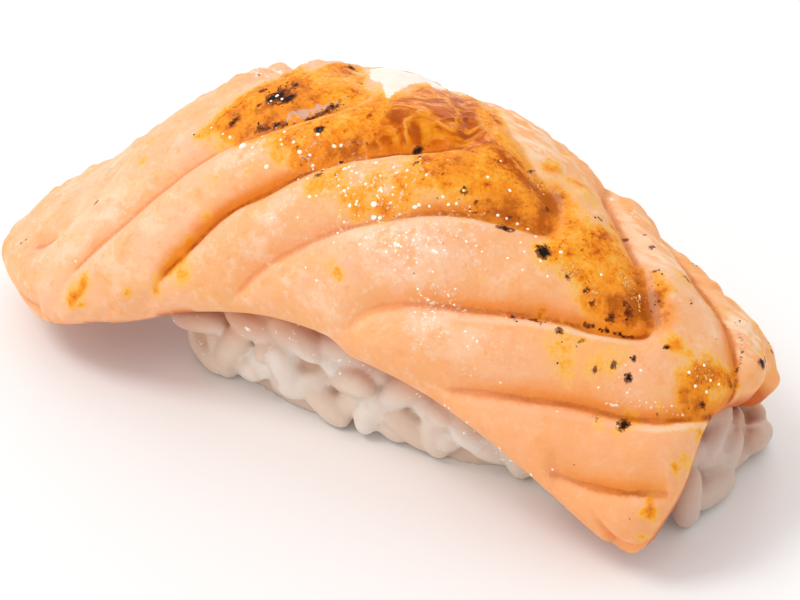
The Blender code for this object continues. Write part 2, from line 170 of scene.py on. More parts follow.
# How amber each seam's fat is and how far its lip shows pale, by the share along it.
SEAM_AMBER = (
    ((0.0, 0.2), (1.0, 0.1)),
    ((0.0, 0.42), (0.15, 0.25), (0.4, 0.35), (0.55, 0.6), (0.65, 0.0), (1.0, 0.0)),
    ((0.0, 0.9), (0.1, 1.0), (0.3, 1.0), (0.5, 1.0), (0.65, 1.0), (0.72, 0.6), (0.8, 0.2), (1.0, 0.1)),
    ((0.0, 0.1), (0.15, 0.3), (0.3, 0.5), (0.38, 0.85), (0.5, 1.0), (0.57, 1.0), (0.65, 0.5), (1.0, 0.2)),
    ((0.0, 0.0), (0.1, 0.15), (0.2, 0.5), (0.35, 0.7), (0.45, 1.0), (0.52, 1.0), (0.6, 0.6), (1.0, 0.2)),
    ((0.0, 0.1), (0.1, 0.4), (0.2, 0.6), (0.35, 0.65), (0.45, 0.9), (0.55, 0.8), (0.65, 0.6), (1.0, 0.3)),
    ((0.0, 0.1), (0.3, 0.5), (0.7, 0.65), (1.0, 0.4)),
)
SEAM_LIPS = (
    ((0.0, 0.1), (1.0, 0.1)),
    ((0.0, 0.1), (0.5, 0.3), (1.0, 0.0)),
    ((0.0, 0.1), (0.4, 0.2), (0.5, 0.9), (0.6, 0.5), (0.7, 0.1), (1.0, 0.0)),
    ((0.0, 0.1), (0.3, 0.2), (0.38, 0.8), (0.46, 0.8), (0.52, 0.1), (0.8, 0.4), (1.0, 0.3)),
    ((0.0, 0.1), (0.15, 0.4), (0.3, 0.8), (0.42, 1.0), (0.48, 0.2), (0.7, 0.5), (1.0, 0.4)),
    ((0.0, 0.1), (0.3, 0.3), (0.38, 1.0), (0.44, 0.8), (0.5, 0.1), (1.0, 0.1)),
    ((0.0, 0.1), (1.0, 0.1)),
)
# The seams fade over the back, from this place across and over this run.
SEAM_BACK = (-0.0020, 0.0055)
SEAM_INNER_SPREAD = 0.0013
SEAM_OUTER_SPREAD = 0.0008
SEAM_FADE = 0.12
SOFTENED = 0.74
CREASE_SHARE = 0.22
CREASE_SPREAD = 0.00035
LIP_SHARE = 0.4
LIP_OFFSET = 0.0019
LIP_SPREAD = 0.0014
THIN_LIP_SHARE = 0.30
THIN_LIP_OFFSET = 0.00055
THIN_LIP_SPREAD = 0.00028
LIP_BREAKS = 0.0009
LIP_BROKEN = 0.4
BLOCK_BULGE = 0.0005
BLOCK_BULGE_REACH = 0.0030
TINY = 1e-12


def squared_circle(a, b, squareness):
    """Shares a and b over a square, drawn in so that the square's corners are rounded."""
    reach = np.maximum(np.abs(a), np.abs(b))
    corner = (np.abs(a) ** squareness + np.abs(b) ** squareness + TINY) ** (1 / squareness)
    return a * reach / corner, b * reach / corner


def rising(value, start, run):
    """From 0 at the start to 1 a run further on. A run below zero rises the other way."""
    return np.clip((value - start) / run, 0, 1)


def through(points, x):
    """Smooth values at x of the curve through (place, value) pairs, with no overshoot."""
    places, values = np.array(points, float).T
    slopes = np.diff(values) / np.diff(places)
    product = slopes[:-1] * slopes[1:]
    inner = np.where(product > 0, 2 * product / (slopes[:-1] + slopes[1:] + TINY), 0.0)
    tangents = np.concatenate([slopes[:1], inner, slopes[-1:]])
    x = np.clip(x, places[0], places[-1])
    i = np.clip(np.searchsorted(places, x) - 1, 0, len(places) - 2)
    width = places[i + 1] - places[i]
    t = (x - places[i]) / width
    return (
        (1 + 2 * t) * (1 - t) ** 2 * values[i]
        + t * (1 - t) ** 2 * width * tangents[i]
        + t * t * (3 - 2 * t) * values[i + 1]
        + t * t * (t - 1) * width * tangents[i + 1]
    )


def middle(x, across):
    """Points of the slice's middle surface, by X and the distance across from its ridge."""
    radius = through(BEND_RADIUS, x) * np.where(across > 0, through(BACK_TIGHTNESS, x), 1.0)
    steepest = np.radians(through(STEEPEST_SIDE, x))
    distance = np.abs(across)
    bend = np.minimum(distance / radius, steepest)
    straight = np.maximum(distance - radius * steepest, 0.0)
    sideways = radius * np.sin(bend) + straight * np.cos(steepest)
    drop = radius * (1 - np.cos(bend)) + straight * np.sin(steepest)
    y = through(RIDGE_SIDEWAYS, x) + np.sign(across) * sideways
    return np.stack([x, y, through(RIDGE_HEIGHT, x) - drop], -1)


def outward(x, across, step=0.00005):
    """Unit normals of the middle surface, pointing away from the rice."""
    along = middle(x + step, across) - middle(x - step, across)
    over = middle(x, across + step) - middle(x, across - step)
    normal = np.cross(along, over)
    return normal / np.linalg.norm(normal, axis=-1, keepdims=True)


def curve_points(points, per_stretch=6):
    """A smooth line through the given points, as a dense run of short stretches."""
    places = np.array(points, float)
    padded = np.vstack([2 * places[0] - places[1], places, 2 * places[-1] - places[-2]])
    t = np.linspace(0, 1, per_stretch, endpoint=False)[:, None]
    runs = []
    for a, b, c, d in zip(padded, padded[1:], padded[2:], padded[3:]):
        bend = (2 * a - 5 * b + 4 * c - d) * t**2 + (3 * b - a - 3 * c + d) * t**3
        runs.append(0.5 * (2 * b + (c - a) * t + bend))
    return np.vstack([*runs, places[-1:]])


def off_stretch(place, start, end):
    """How far places lie off a straight stretch, as offsets, and their share along it."""
    run = end - start
    t = np.clip((place - start) @ run / max(run @ run, TINY), 0, 1)
    return place - start - t[:, None] * run, t


def seam_distance(points, x, across):
    """Signed distance to a seam, above zero on the chevron's outer side, how fully the
    seam is formed there, since it fades out towards both of its ends, and the share of
    the way along it."""
    line = curve_points(points)
    place = np.stack([x, across], -1)
    nearest = np.full(len(place), np.inf)
    side = np.ones(len(place))
    share = np.zeros(len(place))
    for number, (start, end) in enumerate(zip(line, line[1:])):
        off, t = off_stretch(place, start, end)
        distance = np.linalg.norm(off, axis=1)
        closer = distance < nearest
        nearest = np.where(closer, distance, nearest)
        turn = (end - start)[0] * off[:, 1] - (end - start)[1] * off[:, 0]
        side = np.where(closer, np.where(turn < 0, 1.0, -1.0), side)
        share = np.where(closer, (number + t) / (len(line) - 1), share)
    formed = np.clip(np.minimum(share, 1 - share) / SEAM_FADE, 0, 1)
    return nearest * side, formed * formed * (3 - 2 * formed), share


def relief(x, across):
    """Height of the blocks, lips and seams over the plain sheet, with the sharper crease
    and thin raised lip that each seam has."""
    height = np.zeros(len(x))
    nearest = np.full(len(x), np.inf)
    back = rising(across, *SEAM_BACK)
    broken = 1 - LIP_BROKEN + LIP_BROKEN * lumps(x, across, LIP_BREAKS, seed=31)
    for (deepest, back_share, points), lip_run in zip(SEAMS, SEAM_LIPS):
        d, formed, share = seam_distance(points, x, across)
        formed = formed * (1 - back * (1 - back_share)) * SOFTENED
        depth = deepest * formed
        spread = np.where(d < 0, SEAM_INNER_SPREAD, SEAM_OUTER_SPREAD)
        height -= depth * np.exp(-((d / spread) ** 2))
        lip = LIP_SHARE * depth * np.exp(-(((d - LIP_OFFSET) / LIP_SPREAD) ** 2))
        height += np.where(d > 0, lip, 0.0)
        height -= CREASE_SHARE * depth * np.exp(-((d / CREASE_SPREAD) ** 2))
        thin_lip = THIN_LIP_SHARE * depth * np.exp(-(((d - THIN_LIP_OFFSET) / THIN_LIP_SPREAD) ** 2))
        height += thin_lip * broken * through(lip_run, share)
        nearest = np.minimum(nearest, np.abs(d) + (1 - formed) * BLOCK_BULGE_REACH)
    return height + BLOCK_BULGE * (1 - np.exp(-((nearest / BLOCK_BULGE_REACH) ** 2)))


def slice_place(u, v):
    """X and the distance across for shares u along and v across, each from -1 to 1."""
    u, v = squared_circle(u, v, CORNER_SQUARENESS)
    far = through(FAR_END, v)
    near = through(NEAR_END, v)
    x = far + (u + 1) / 2 * (near - far) + END_WAVE * u * np.sin(END_WAVE_TURNS * v)
    across = np.where(v < 0, v * through(FRONT_WIDTH, x), v * through(BACK_WIDTH, x))
    return x, across


def rim_share(u, v):
    """Share of the full thickness, rounded off towards the rim."""
    to_end = (1 - np.abs(u)) * SLICE_HALF_LENGTH
    to_side = (1 - np.abs(v)) * SLICE_HALF_WIDTH
    near_end = np.clip(1 - to_end / RIM_ROUNDING, 0, 1)
    near_side = np.clip(1 - to_side / RIM_ROUNDING, 0, 1)
    near_rim = np.clip(np.hypot(near_end, near_side), 0, 1)
    return RIM_SHARE + (1 - RIM_SHARE) * np.sqrt(1 - near_rim**2)


def coordinates(mesh):
    """The places of all the vertices of a mesh."""
    places = np.empty(len(mesh.vertices) * 3)
    mesh.vertices.foreach_get("co", places)
    return places.reshape(-1, 3)


def place_vertices(mesh, function):
    """Moves every vertex of a mesh by a function of all their coordinates."""
    mesh.vertices.foreach_set("co", function(coordinates(mesh)).ravel())
    mesh.update()


# The unevenness of the surface: how high each kind stands out, and how large its bumps
# are. A sink lowers the surface by a share of the height, so that it stays in its place.
LUMP_SHIFT = 40.0
LUMP_LATTICE = 64
SOFT_LUMPS = 0.00014
SOFT_LUMP_SIZE = 0.0042
SOFT_LUMP_SINK = 0.85
PUCKERS = 0.00006
PUCKER_SIZE = 0.0013
PUCKER_SLANT = 0.4
CRUST = 0.00042
CRUST_SIZE = 0.0012
CRUST_SINK = 0.75
FINE_CRUST = 0.00012
FINE_CRUST_SIZE = 0.00045
CRAGS = 0.00065
CRAG_SIZE = 0.0019
FINE_CRAGS = 0.00030
FINE_CRAG_SIZE = 0.0006
CRAG_STRETCH = 0.35
# Where the crust and the crags start and the run to their full height: across, along X
# and, at the rim, by the share of the slice's thickness.
CRUST_OVER_BACK = (0.0005, 0.003)
CRUST_TO_FAR_END = (-0.020, -0.006)
CRUST_TO_RIM = (0.995, -0.2)
CRUST_OFF_RIM = 0.45
CRUST_ON_FAR_RIM = 0.6
CRAGS_OVER_BACK = (-0.0015, 0.0030)
CRAGS_TO_FAR_END = (-0.0165, -0.0030)
CRAGS_TO_TIP = (-0.0425, -0.0030)
CRAGS_ON_TIP = 0.6


def lumps(x, y, size, seed):
    """Smooth seeded unevenness from -1 to 1, in bumps of about this size."""
    lattice = np.random.default_rng(seed).uniform(-1, 1, (LUMP_LATTICE, LUMP_LATTICE))
    a, b = x / size + LUMP_SHIFT, y / size + LUMP_SHIFT
    i, j = np.floor(a).astype(int), np.floor(b).astype(int)
    s, t = a - i, b - j
    s, t = s * s * (3 - 2 * s), t * t * (3 - 2 * t)
    i, j, k, m = (number % LUMP_LATTICE for number in (i, j, i + 1, j + 1))
    low = lattice[i, j] * (1 - s) + lattice[k, j] * s
    high = lattice[i, m] * (1 - s) + lattice[k, m] * s
    return low * (1 - t) + high * t


def ragged(x, across, share):
    """How crusty the surface is, from 0 to 1: the flame catches the back and far rims."""
    far = rising(x, *CRUST_TO_FAR_END)
    rim = rising(share, *CRUST_TO_RIM)
    over_back = np.maximum(CRUST_OFF_RIM + (1 - CRUST_OFF_RIM) * rim, far)
    return np.maximum(rising(across, *CRUST_OVER_BACK) * over_back, far**3 * rim * CRUST_ON_FAR_RIM)


def crags(x, across):
    """The torn edges of the far back of the slice, drawn out across it."""
    torn = rising(x, *CRAGS_TO_FAR_END) * rising(across, *CRAGS_OVER_BACK)
    torn = np.maximum(torn, CRAGS_ON_TIP * rising(x, *CRAGS_TO_TIP))
    large = CRAGS * lumps(x, across * CRAG_STRETCH, CRAG_SIZE, seed=41)
    small = FINE_CRAGS * lumps(x, across * CRAG_STRETCH, FINE_CRAG_SIZE, seed=43)
    return torn * (large + small)


def fine_relief(x, across):
    """The relief with the flesh's own unevenness: soft lumps and finer puckers."""
    height = relief(x, across)
    height += SOFT_LUMPS * (lumps(x, across, SOFT_LUMP_SIZE, seed=3) - SOFT_LUMP_SINK)
    height += PUCKERS * lumps(x + across * PUCKER_SLANT, across, PUCKER_SIZE, seed=5)
    return height


def slice_layout(flat):
    """X, distance across, share of thickness and side of a flat two-sided sheet's points."""
    spread = RIM_CROWDING * math.pi / 2
    u, v = (np.sin(flat[:, i] * spread) / math.sin(spread) for i in (0, 1))
    x, across = slice_place(u, v)
    return x, across, rim_share(u, v), np.sign(flat[:, 2])


def slice_points(flat):
    """Places the points of a flat two-sided sheet on the slice."""
    x, across, share, side = slice_layout(flat)
    thickness = side * share * through(SLICE_THICKNESS, x) / 2
    crust = CRUST * (lumps(x, across, CRUST_SIZE, seed=7) - CRUST_SINK)
    crust = crust + FINE_CRUST * lumps(x, across, FINE_CRUST_SIZE, seed=8)
    crust = crust * ragged(x, across, share)
    lifted = np.where(side > 0, (fine_relief(x, across) + crags(x, across)) * share + crust, 0.0)
    return middle(x, across) + outward(x, across) * (thickness + lifted)[:, None]


def two_sided_sheet(upper_steps, lower_steps):
    """Two facing grids joined along their rims, from -1 to 1 each way."""
    bm = bmesh.new()
    for height, (steps_long, steps_across) in ((1.0, upper_steps), (-1.0, lower_steps)):
        bmesh.ops.create_grid(
            bm,
            x_segments=steps_long,
            y_segments=steps_across,
            size=1.0,
            matrix=Matrix.Translation((0, 0, height)),
        )
    rims = [edge for edge in bm.edges if edge.is_boundary]
    bmesh.ops.bridge_loops(bm, edges=rims)
    bmesh.ops.recalc_face_normals(bm, faces=bm.faces)
    return bm


def object_from(bm, name):
    """A scene object holding the finished bmesh, shaded smooth."""
    mesh = bpy.data.meshes.new(name)
    bm.to_mesh(mesh)
    bm.free()
    mesh.shade_smooth()
    made = bpy.data.objects.new(name, mesh)
    bpy.context.scene.collection.objects.link(made)
    return made


def store(mesh, name, values):
    """Keeps one number for each vertex as an attribute that the material reads."""
    layer = mesh.attributes.new(name, "FLOAT", "POINT")
    layer.data.foreach_set("value", np.clip(values, 0, 1).astype(np.float32))


salmon = object_from(two_sided_sheet(UPPER_STEPS, LOWER_STEPS), "salmon_slice_flesh")
flesh_x, flesh_across, _, flesh_side = slice_layout(coordinates(salmon.data))
place_vertices(salmon.data, slice_points)
upper = (flesh_side > 0).astype(float)

# Marks on the flesh are given by their pixel in the picture, which is looked up on the
# upper side of the slice as the camera sees it.
LEAST_FACING = 0.02
MILLIMETRES = 1000
flesh_normals = outward(flesh_x, flesh_across)
seen = (flesh_side > 0) & (flesh_normals @ np.array(toward_camera) > LEAST_FACING)
seen_pixels = in_picture(coordinates(salmon.data)[seen])
seen_places = np.stack([flesh_x, flesh_across], -1)[seen]


def under_pixels(pixels):
    """X and the distance across of the flesh that shows at these pixels."""
    found = []
    for pixel in np.array(pixels, float):
        nearest = np.argmin(((seen_pixels - pixel) ** 2).sum(-1))
        found.append(seen_places[nearest])
    return np.array(found)


def spots(x, across, marks):
    """How strongly soft round marks cover each point. A mark is the two coordinates of
    its pixel, its radius in millimetres and its strength."""
    cover = np.zeros(len(x))
    places = under_pixels([mark[:2] for mark in marks])
    for (mark_x, mark_across), (_, _, radius, strength) in zip(places, marks):
        off = np.hypot(x - mark_x, across - mark_across) * MILLIMETRES / radius
        cover = np.maximum(cover, strength * np.exp(-(off**2)))
    return cover


def line_distance(x, across, line):
    """Distance to a line through places in metres."""
    place = np.stack([x, across], -1)
    nearest = np.full(len(x), np.inf)
    for start, end in zip(line, line[1:]):
        nearest = np.minimum(nearest, np.linalg.norm(off_stretch(place, start, end)[0], axis=1))
    return nearest


def outline_distance(x, across, outline):
    """Distance inside a closed outline of places in metres, below zero outside it."""
    inside = np.zeros(len(x), bool)
    closed = np.vstack([outline, outline[:1]])
    for (start_x, start_across), (end_x, end_across) in zip(closed, closed[1:]):
        spans = (start_across > across) != (end_across > across)
        slant = (end_x - start_x) / (end_across - start_across + TINY)
        inside ^= spans & (x < start_x + (across - start_across) * slant)
    nearest = line_distance(x, across, closed)
    return np.where(inside, nearest, -nearest)


def streak(marks, radius, strength, gap=4.0):
    """A run of marks along a line through the given pixels, a gap of pixels apart."""
    run = []
    for (start_x, start_y), (end_x, end_y) in zip(marks, marks[1:]):
        count = max(1, round(math.hypot(end_x - start_x, end_y - start_y) / gap))
        for number in range(count):
            t = number / count
            run.append((start_x + (end_x - start_x) * t, start_y + (end_y - start_y) * t, radius, strength))
    return tuple(run)


# Gold is where the flame toasted the flesh, brown where it went further, char where it
# burnt, and ash the pale skin beside the char. Cream is the fat that set white on the
# crown, and fibre the pale stripes that run over the back. A mark is the two coordinates
# of its pixel, its radius in millimetres and its strength.
GOLD_MARKS = (
    (214, 126, 1.2, 0.8), (230, 124, 1.9, 0.95), (244, 112, 1.6, 0.9), (258, 128, 2.2, 1.0),
    (280, 112, 2.4, 1.0), (289, 134, 2.2, 1.0), (307, 138, 2.4, 1.0), (328, 148, 2.4, 1.0),
    (300, 160, 1.6, 0.9), (277, 166, 1.2, 0.7), (345, 125, 2.4, 1.0), (357, 104, 2.2, 0.95),
    (371, 118, 2.0, 1.0), (340, 90, 1.6, 0.75), (366, 76, 1.0, 0.8), (395, 98, 1.8, 0.9),
    (432, 80, 0.7, 0.8), (372, 140, 2.0, 1.0), (420, 140, 3.0, 1.0), (390, 130, 2.6, 1.0),
    (314, 187, 1.1, 0.9), (330, 181, 1.6, 1.0), (345, 194, 1.3, 0.9), (360, 197, 1.2, 0.9),
    (376, 203, 1.3, 1.0), (378, 179, 1.3, 0.85), (411, 184, 1.9, 0.95), (436, 172, 1.9, 0.95),
    (452, 186, 1.8, 0.9), (468, 184, 2.0, 1.0), (395, 201, 1.1, 0.75), (425, 176, 1.6, 0.9),
    (486, 186, 2.1, 1.0), (500, 196, 2.0, 1.0), (470, 205, 1.5, 0.8), (512, 178, 2.0, 0.95),
    (454, 145, 2.6, 1.0), (480, 128, 2.4, 0.95), (500, 145, 2.2, 1.0), (518, 165, 2.0, 1.0),
    (470, 100, 1.6, 0.8), (495, 112, 1.2, 0.7), (540, 195, 1.8, 1.0), (556, 168, 1.2, 0.7),
    (575, 186, 1.6, 0.65), (591, 197, 1.2, 0.75), (560, 215, 2.2, 0.8), (582, 228, 1.8, 0.75),
    (605, 232, 1.5, 0.9), (615, 228, 1.0, 0.9), (556, 251, 1.5, 0.95), (572, 258, 1.8, 1.0),
    (590, 262, 2.0, 1.0), (612, 270, 2.2, 1.0), (600, 285, 2.2, 1.0), (625, 286, 2.0, 1.0),
    (580, 290, 1.4, 0.7), (618, 304, 1.7, 1.0), (636, 300, 1.6, 1.0), (652, 283, 1.5, 0.95),
    (668, 292, 1.0, 0.75), (676, 342, 1.5, 1.05), (665, 340, 1.0, 0.9), (688, 343, 0.9, 0.9),
    (706, 372, 2.1, 1.1), (700, 388, 1.9, 1.0), (724, 380, 1.5, 0.95), (693, 400, 1.4, 0.9),
    (735, 384, 1.1, 0.8), (566, 352, 2.4, 0.7), (600, 362, 2.0, 0.6), (618, 346, 1.6, 0.6),
    (335, 272, 0.9, 0.85), (326, 257, 0.8, 0.6), (338, 282, 0.6, 0.7), (78, 292, 0.8, 0.95),
    (84, 300, 0.5, 0.8), (132, 296, 0.7, 0.85), (151, 285, 1.0, 0.8), (179, 279, 1.2, 0.8),
    (159, 137, 0.8, 0.7), (143, 165, 0.8, 0.7), (103, 183, 0.7, 0.7), (57, 208, 0.8, 0.4),
    (166, 270, 1.1, 0.7), (622, 425, 0.9, 0.8), (596, 418, 0.6, 0.75), (658, 421, 0.6, 0.8),
    (666, 425, 0.6, 0.9), (704, 426, 0.9, 0.9), (716, 421, 0.6, 0.8), (676, 470, 0.7, 0.9),
    (690, 461, 0.8, 0.8), (654, 500, 0.7, 0.9), (652, 512, 0.8, 1.0), (644, 540, 0.4, 1.0),
    (745, 402, 0.4, 1.0), (758, 325, 1.0, 0.6), (762, 350, 0.9, 0.45), (340, 66, 0.8, 0.7),
    (205, 185, 0.9, 0.35), (250, 176, 1.0, 0.45), (170, 272, 0.8, 0.9), (181, 259, 0.9, 0.9),
    (194, 243, 0.8, 0.9), (210, 224, 0.7, 0.8), (565, 155, 1.8, 0.5), (600, 186, 1.6, 0.5),
    (690, 285, 1.8, 0.5), (716, 312, 1.6, 0.45), (530, 330, 0.8, 0.5), (548, 350, 1.4, 0.55),
)
BROWN_MARKS = (
    (276, 98, 1.7, 0.75), (290, 88, 1.0, 0.6), (290, 106, 1.6, 0.7), (262, 108, 1.1, 0.6),
    (234, 122, 0.8, 0.8), (250, 134, 1.2, 0.7), (268, 128, 1.3, 0.75), (285, 124, 1.0, 0.7),
    (257, 93, 0.8, 0.6), (246, 137, 0.7, 0.7), (310, 162, 1.0, 0.65), (326, 156, 1.0, 0.75),
    (345, 150, 1.1, 0.85), (360, 147, 1.2, 0.95), (340, 74, 0.7, 0.6), (297, 170, 0.7, 0.5),
    (380, 204, 0.8, 0.6), (480, 208, 1.0, 0.6), (500, 209, 1.2, 0.8), (513, 206, 1.5, 0.9),
    (524, 172, 1.0, 0.7), (537, 186, 1.1, 0.75), (546, 200, 1.0, 0.9), (548, 210, 1.5, 1.2),
    (541, 219, 1.4, 1.1), (527, 218, 1.0, 0.85), (463, 160, 1.3, 0.6), (575, 226, 0.6, 0.7),
    (583, 184, 0.7, 0.6), (557, 172, 0.7, 0.6), (640, 276, 1.3, 0.85), (640, 290, 1.3, 0.9),
    (630, 302, 1.5, 1.2), (642, 304, 1.6, 1.4), (616, 300, 1.3, 0.8), (600, 296, 1.3, 0.7),
    (648, 320, 1.0, 0.9), (664, 315, 0.9, 0.75), (672, 343, 0.8, 0.55), (704, 375, 1.2, 0.65),
    (700, 404, 0.9, 0.75), (688, 396, 1.0, 0.6), (730, 390, 0.8, 0.8), (735, 372, 0.6, 0.55),
    (652, 508, 0.5, 0.75), (77, 293, 0.4, 0.6), (151, 288, 0.5, 0.7), (184, 252, 0.5, 0.5),
    (540, 320, 0.9, 0.6), (600, 330, 1.2, 0.6),
)
CHAR_MARKS = (
    (270, 99, 0.65, 1.1), (277, 97, 0.85, 1.2), (285, 100, 0.8, 1.1), (279, 104, 0.5, 0.8),
    (293, 86, 0.45, 0.9), (289, 83, 0.3, 0.8), (279, 87, 0.3, 0.9), (257, 105, 0.3, 0.9),
    (260, 92, 0.35, 0.85), (234, 122, 0.35, 1.0), (238, 119, 0.25, 0.8), (259, 129, 0.4, 1.0),
    (267, 127, 0.3, 0.9), (275, 126, 0.35, 1.0), (285, 124, 0.35, 0.9), (305, 121, 0.35, 0.9),
    (311, 119, 0.45, 1.1), (318, 116, 0.35, 0.9), (324, 112, 0.4, 1.0), (331, 108, 0.45, 1.1),
    (337, 105, 0.35, 0.9), (342, 101, 0.3, 0.8), (319, 132, 0.4, 1.2), (297, 148, 0.25, 0.8),
    (341, 161, 0.3, 0.9), (318, 174, 0.45, 0.9), (322, 171, 0.3, 0.8), (351, 68, 0.45, 0.8),
    (360, 84, 0.25, 0.8), (417, 152, 0.45, 1.3), (422, 157, 0.3, 0.8), (418, 162, 0.25, 0.9),
    (464, 190, 0.4, 0.9), (478, 202, 0.35, 0.7), (500, 226, 0.35, 1.0), (506, 227, 0.45, 1.2),
    (512, 229, 0.35, 1.0), (543, 233, 0.3, 0.7), (544, 250, 0.62, 1.3), (532, 170, 0.35, 0.9),
    (546, 212, 0.3, 0.8), (600, 196, 0.35, 1.0), (600, 218, 0.3, 1.0), (628, 240, 0.3, 1.0),
    (652, 246, 0.3, 0.9), (690, 282, 0.45, 1.1), (570, 278, 0.35, 1.1), (587, 288, 0.3, 0.9),
    (594, 300, 0.4, 0.8), (627, 312, 0.5, 0.9), (622, 304, 0.35, 0.7), (608, 316, 0.45, 0.7),
    (659, 299, 0.25, 0.9), (690, 302, 0.2, 0.9), (665, 349, 0.3, 1.1), (635, 358, 0.3, 1.0),
    (626, 377, 0.4, 1.1), (613, 364, 0.35, 0.9), (597, 371, 0.3, 0.9), (579, 344, 0.3, 0.8),
    (561, 331, 0.4, 0.9), (703, 406, 0.35, 0.8), (733, 387, 0.4, 0.9), (762, 364, 0.45, 1.1),
    (765, 358, 0.3, 0.8), (772, 350, 0.35, 1.0), (770, 340, 0.25, 0.8), (758, 325, 0.25, 0.8),
    (744, 348, 0.2, 0.8), (623, 426, 0.5, 1.1), (617, 423, 0.3, 0.8), (596, 418, 0.3, 0.8),
    (656, 419, 0.25, 0.7), (718, 424, 0.3, 0.9), (700, 264, 0.3, 0.8), (694, 262, 0.35, 0.9),
    (683, 248, 0.3, 0.8), (541, 325, 0.25, 0.7), (137, 145, 0.2, 0.9), (126, 154, 0.2, 0.8),
    (114, 166, 0.2, 0.9), (131, 180, 0.2, 0.8), (56, 198, 0.25, 0.8), (95, 203, 0.25, 0.9),
    (15, 218, 0.25, 0.9), (25, 240, 0.2, 0.8), (20, 243, 0.2, 0.8), (441, 247, 0.2, 0.8),
    (415, 276, 0.2, 0.8), (503, 305, 0.2, 0.7), (660, 269, 0.3, 0.7), (646, 235, 0.2, 0.8),
    (620, 230, 0.2, 0.8),
)
CHARRED_LIPS = (
    streak([(508, 318), (530, 320), (546, 324)], 0.16, 0.95)
    + streak([(585, 325), (604, 329), (622, 334), (636, 339)], 0.20, 1.0, 5.0)
    + streak([(256, 131), (270, 127), (286, 123)], 0.22, 0.8, 7.0)
    + streak([(302, 122), (318, 115), (336, 106)], 0.22, 0.85, 6.0)
    + streak([(470, 212), (500, 214), (525, 221)], 0.14, 0.7)
    + streak([(737, 318), (741, 340), (741, 360), (737, 374)], 0.20, 0.62)
)
ASH_MARKS = streak([(290, 117), (305, 111), (322, 107), (340, 104)], 0.45, 0.95, 5.0)
CREAM_MARKS = (
    (280, 74, 2.0, 0.55), (255, 72, 1.6, 0.6), (300, 72, 1.5, 0.5), (470, 84, 1.4, 0.6),
    (515, 105, 1.6, 0.55), (190, 100, 1.2, 0.5), (160, 118, 1.0, 0.5), (610, 200, 1.2, 0.5),
    (640, 214, 1.0, 0.5), (62, 193, 1.0, 0.6), (72, 190, 0.8, 0.6), (38, 206, 1.0, 0.5),
    (100, 166, 0.7, 0.5),
)
# Thin lines of white fat along three seams, with painted highlights on them, and a painted shade along the
# edge under the far rim.
FAT_LINES_AND_GLINTS = (
    streak([(600, 403), (625, 407), (650, 410), (684, 415)], 0.15, 0.62, 3.0)
    + streak([(398, 318), (420, 314), (445, 311), (470, 311)], 0.13, 0.60, 3.0)
    + streak([(440, 204), (470, 208), (500, 214)], 0.10, 0.55, 3.0)
)
PAINTED_SHADE_RIM = (
    streak([(88, 325), (120, 324), (150, 321), (170, 319)], 0.20, 0.55)
    + streak([(166, 321), (182, 318), (196, 316)], 0.45, 1.0)
)
# The crown is toasted all over inside the first outline. The second is a painted highlight: the shine of the
# lamp behind on the wet crown, painted near white.
SEAR_OUTLINE = (
    (208, 128), (222, 108), (243, 93), (262, 82), (285, 74), (310, 70), (340, 66), (356, 72), (372, 86),
    (384, 98), (402, 90), (440, 88), (468, 88), (486, 104), (508, 128), (528, 158), (545, 180),
    (560, 205), (585, 222), (605, 226), (622, 236), (640, 262), (655, 284), (664, 292), (655, 310),
    (640, 316), (610, 306), (588, 296), (572, 282), (560, 262), (548, 242), (535, 224), (505, 213),
    (470, 206), (440, 202), (420, 190), (428, 172), (410, 158), (370, 153), (345, 158), (320, 166),
    (296, 176), (282, 172), (290, 158), (276, 146), (250, 140), (228, 136),
)
CROWN_HIGHLIGHT_OUTLINE = (
    (368, 69), (370, 79), (384, 86), (383, 98), (388, 99), (394, 93), (403, 87), (416, 83), (428, 82),
    (433, 90), (440, 94), (445, 88), (438, 81), (430, 75), (416, 70), (398, 68), (380, 67),
)
# Where wet fat shines in the light. There the flesh gets a glossy coat and a painted highlight: paler paint
# with painted white glints.
GLOSS_AND_PAINTED_SHEEN_MARKS = (
    (248, 150, 1.6, 0.6), (300, 150, 1.6, 0.4), (350, 172, 2.0, 1.0), (378, 205, 2.2, 1.0),
    (405, 178, 1.8, 0.6), (388, 238, 2.0, 1.0), (408, 246, 2.0, 1.0), (432, 238, 2.0, 0.8),
    (455, 228, 2.0, 0.7), (475, 240, 2.0, 0.5), (345, 222, 1.6, 0.6), (280, 205, 1.6, 0.5),
    (432, 316, 2.0, 0.9), (470, 355, 2.2, 0.3), (500, 340, 2.0, 0.2), (620, 385, 1.6, 0.2),
    (120, 205, 2.0, 0.3), (75, 225, 2.0, 0.2), (330, 300, 2.0, 0.3),
)
FIBRE_MARKS = (
    (500, 100, 2.6, 0.9), (522, 122, 2.8, 1.0), (540, 145, 2.8, 0.9), (556, 158, 2.4, 0.6),
    (575, 170, 2.2, 0.5), (636, 222, 2.2, 0.7), (655, 240, 2.2, 0.7), (652, 262, 1.8, 0.8),
    (676, 262, 2.0, 0.6), (740, 318, 2.2, 0.8), (752, 338, 2.4, 0.8), (480, 82, 2.0, 0.6),
    (80, 212, 1.8, 0.35), (105, 205, 1.6, 0.4), (75, 185, 1.4, 0.6),
)


SEAM_COLOUR_FADE = 0.05
SEAM_END_GAP = 0.001
SEAM_GAP_REACH = 4.0
# How far the edges of the marks wander, and how strong each kind of mark is.
WANDER = 0.0007
WANDER_SIZE = 0.0021
FINE_WANDER = 0.0003
FINE_WANDER_SIZE = 0.0008
WANDER_SEEDS = (11, 13)
CLOSE_WANDER = 0.3
CROWN_SEAR = 0.66
CROWN_EDGE = 0.0012
CROWN_REACH = 0.35
CROWN_HIGHLIGHT_EDGE = 0.0007
CROWN_HIGHLIGHT_REACH = 0.5
GOLD_SHARE = 0.70
BROWN_SHARE = 0.8
CHAR_SHARE = 0.75
CREAM_SHARE = 0.8
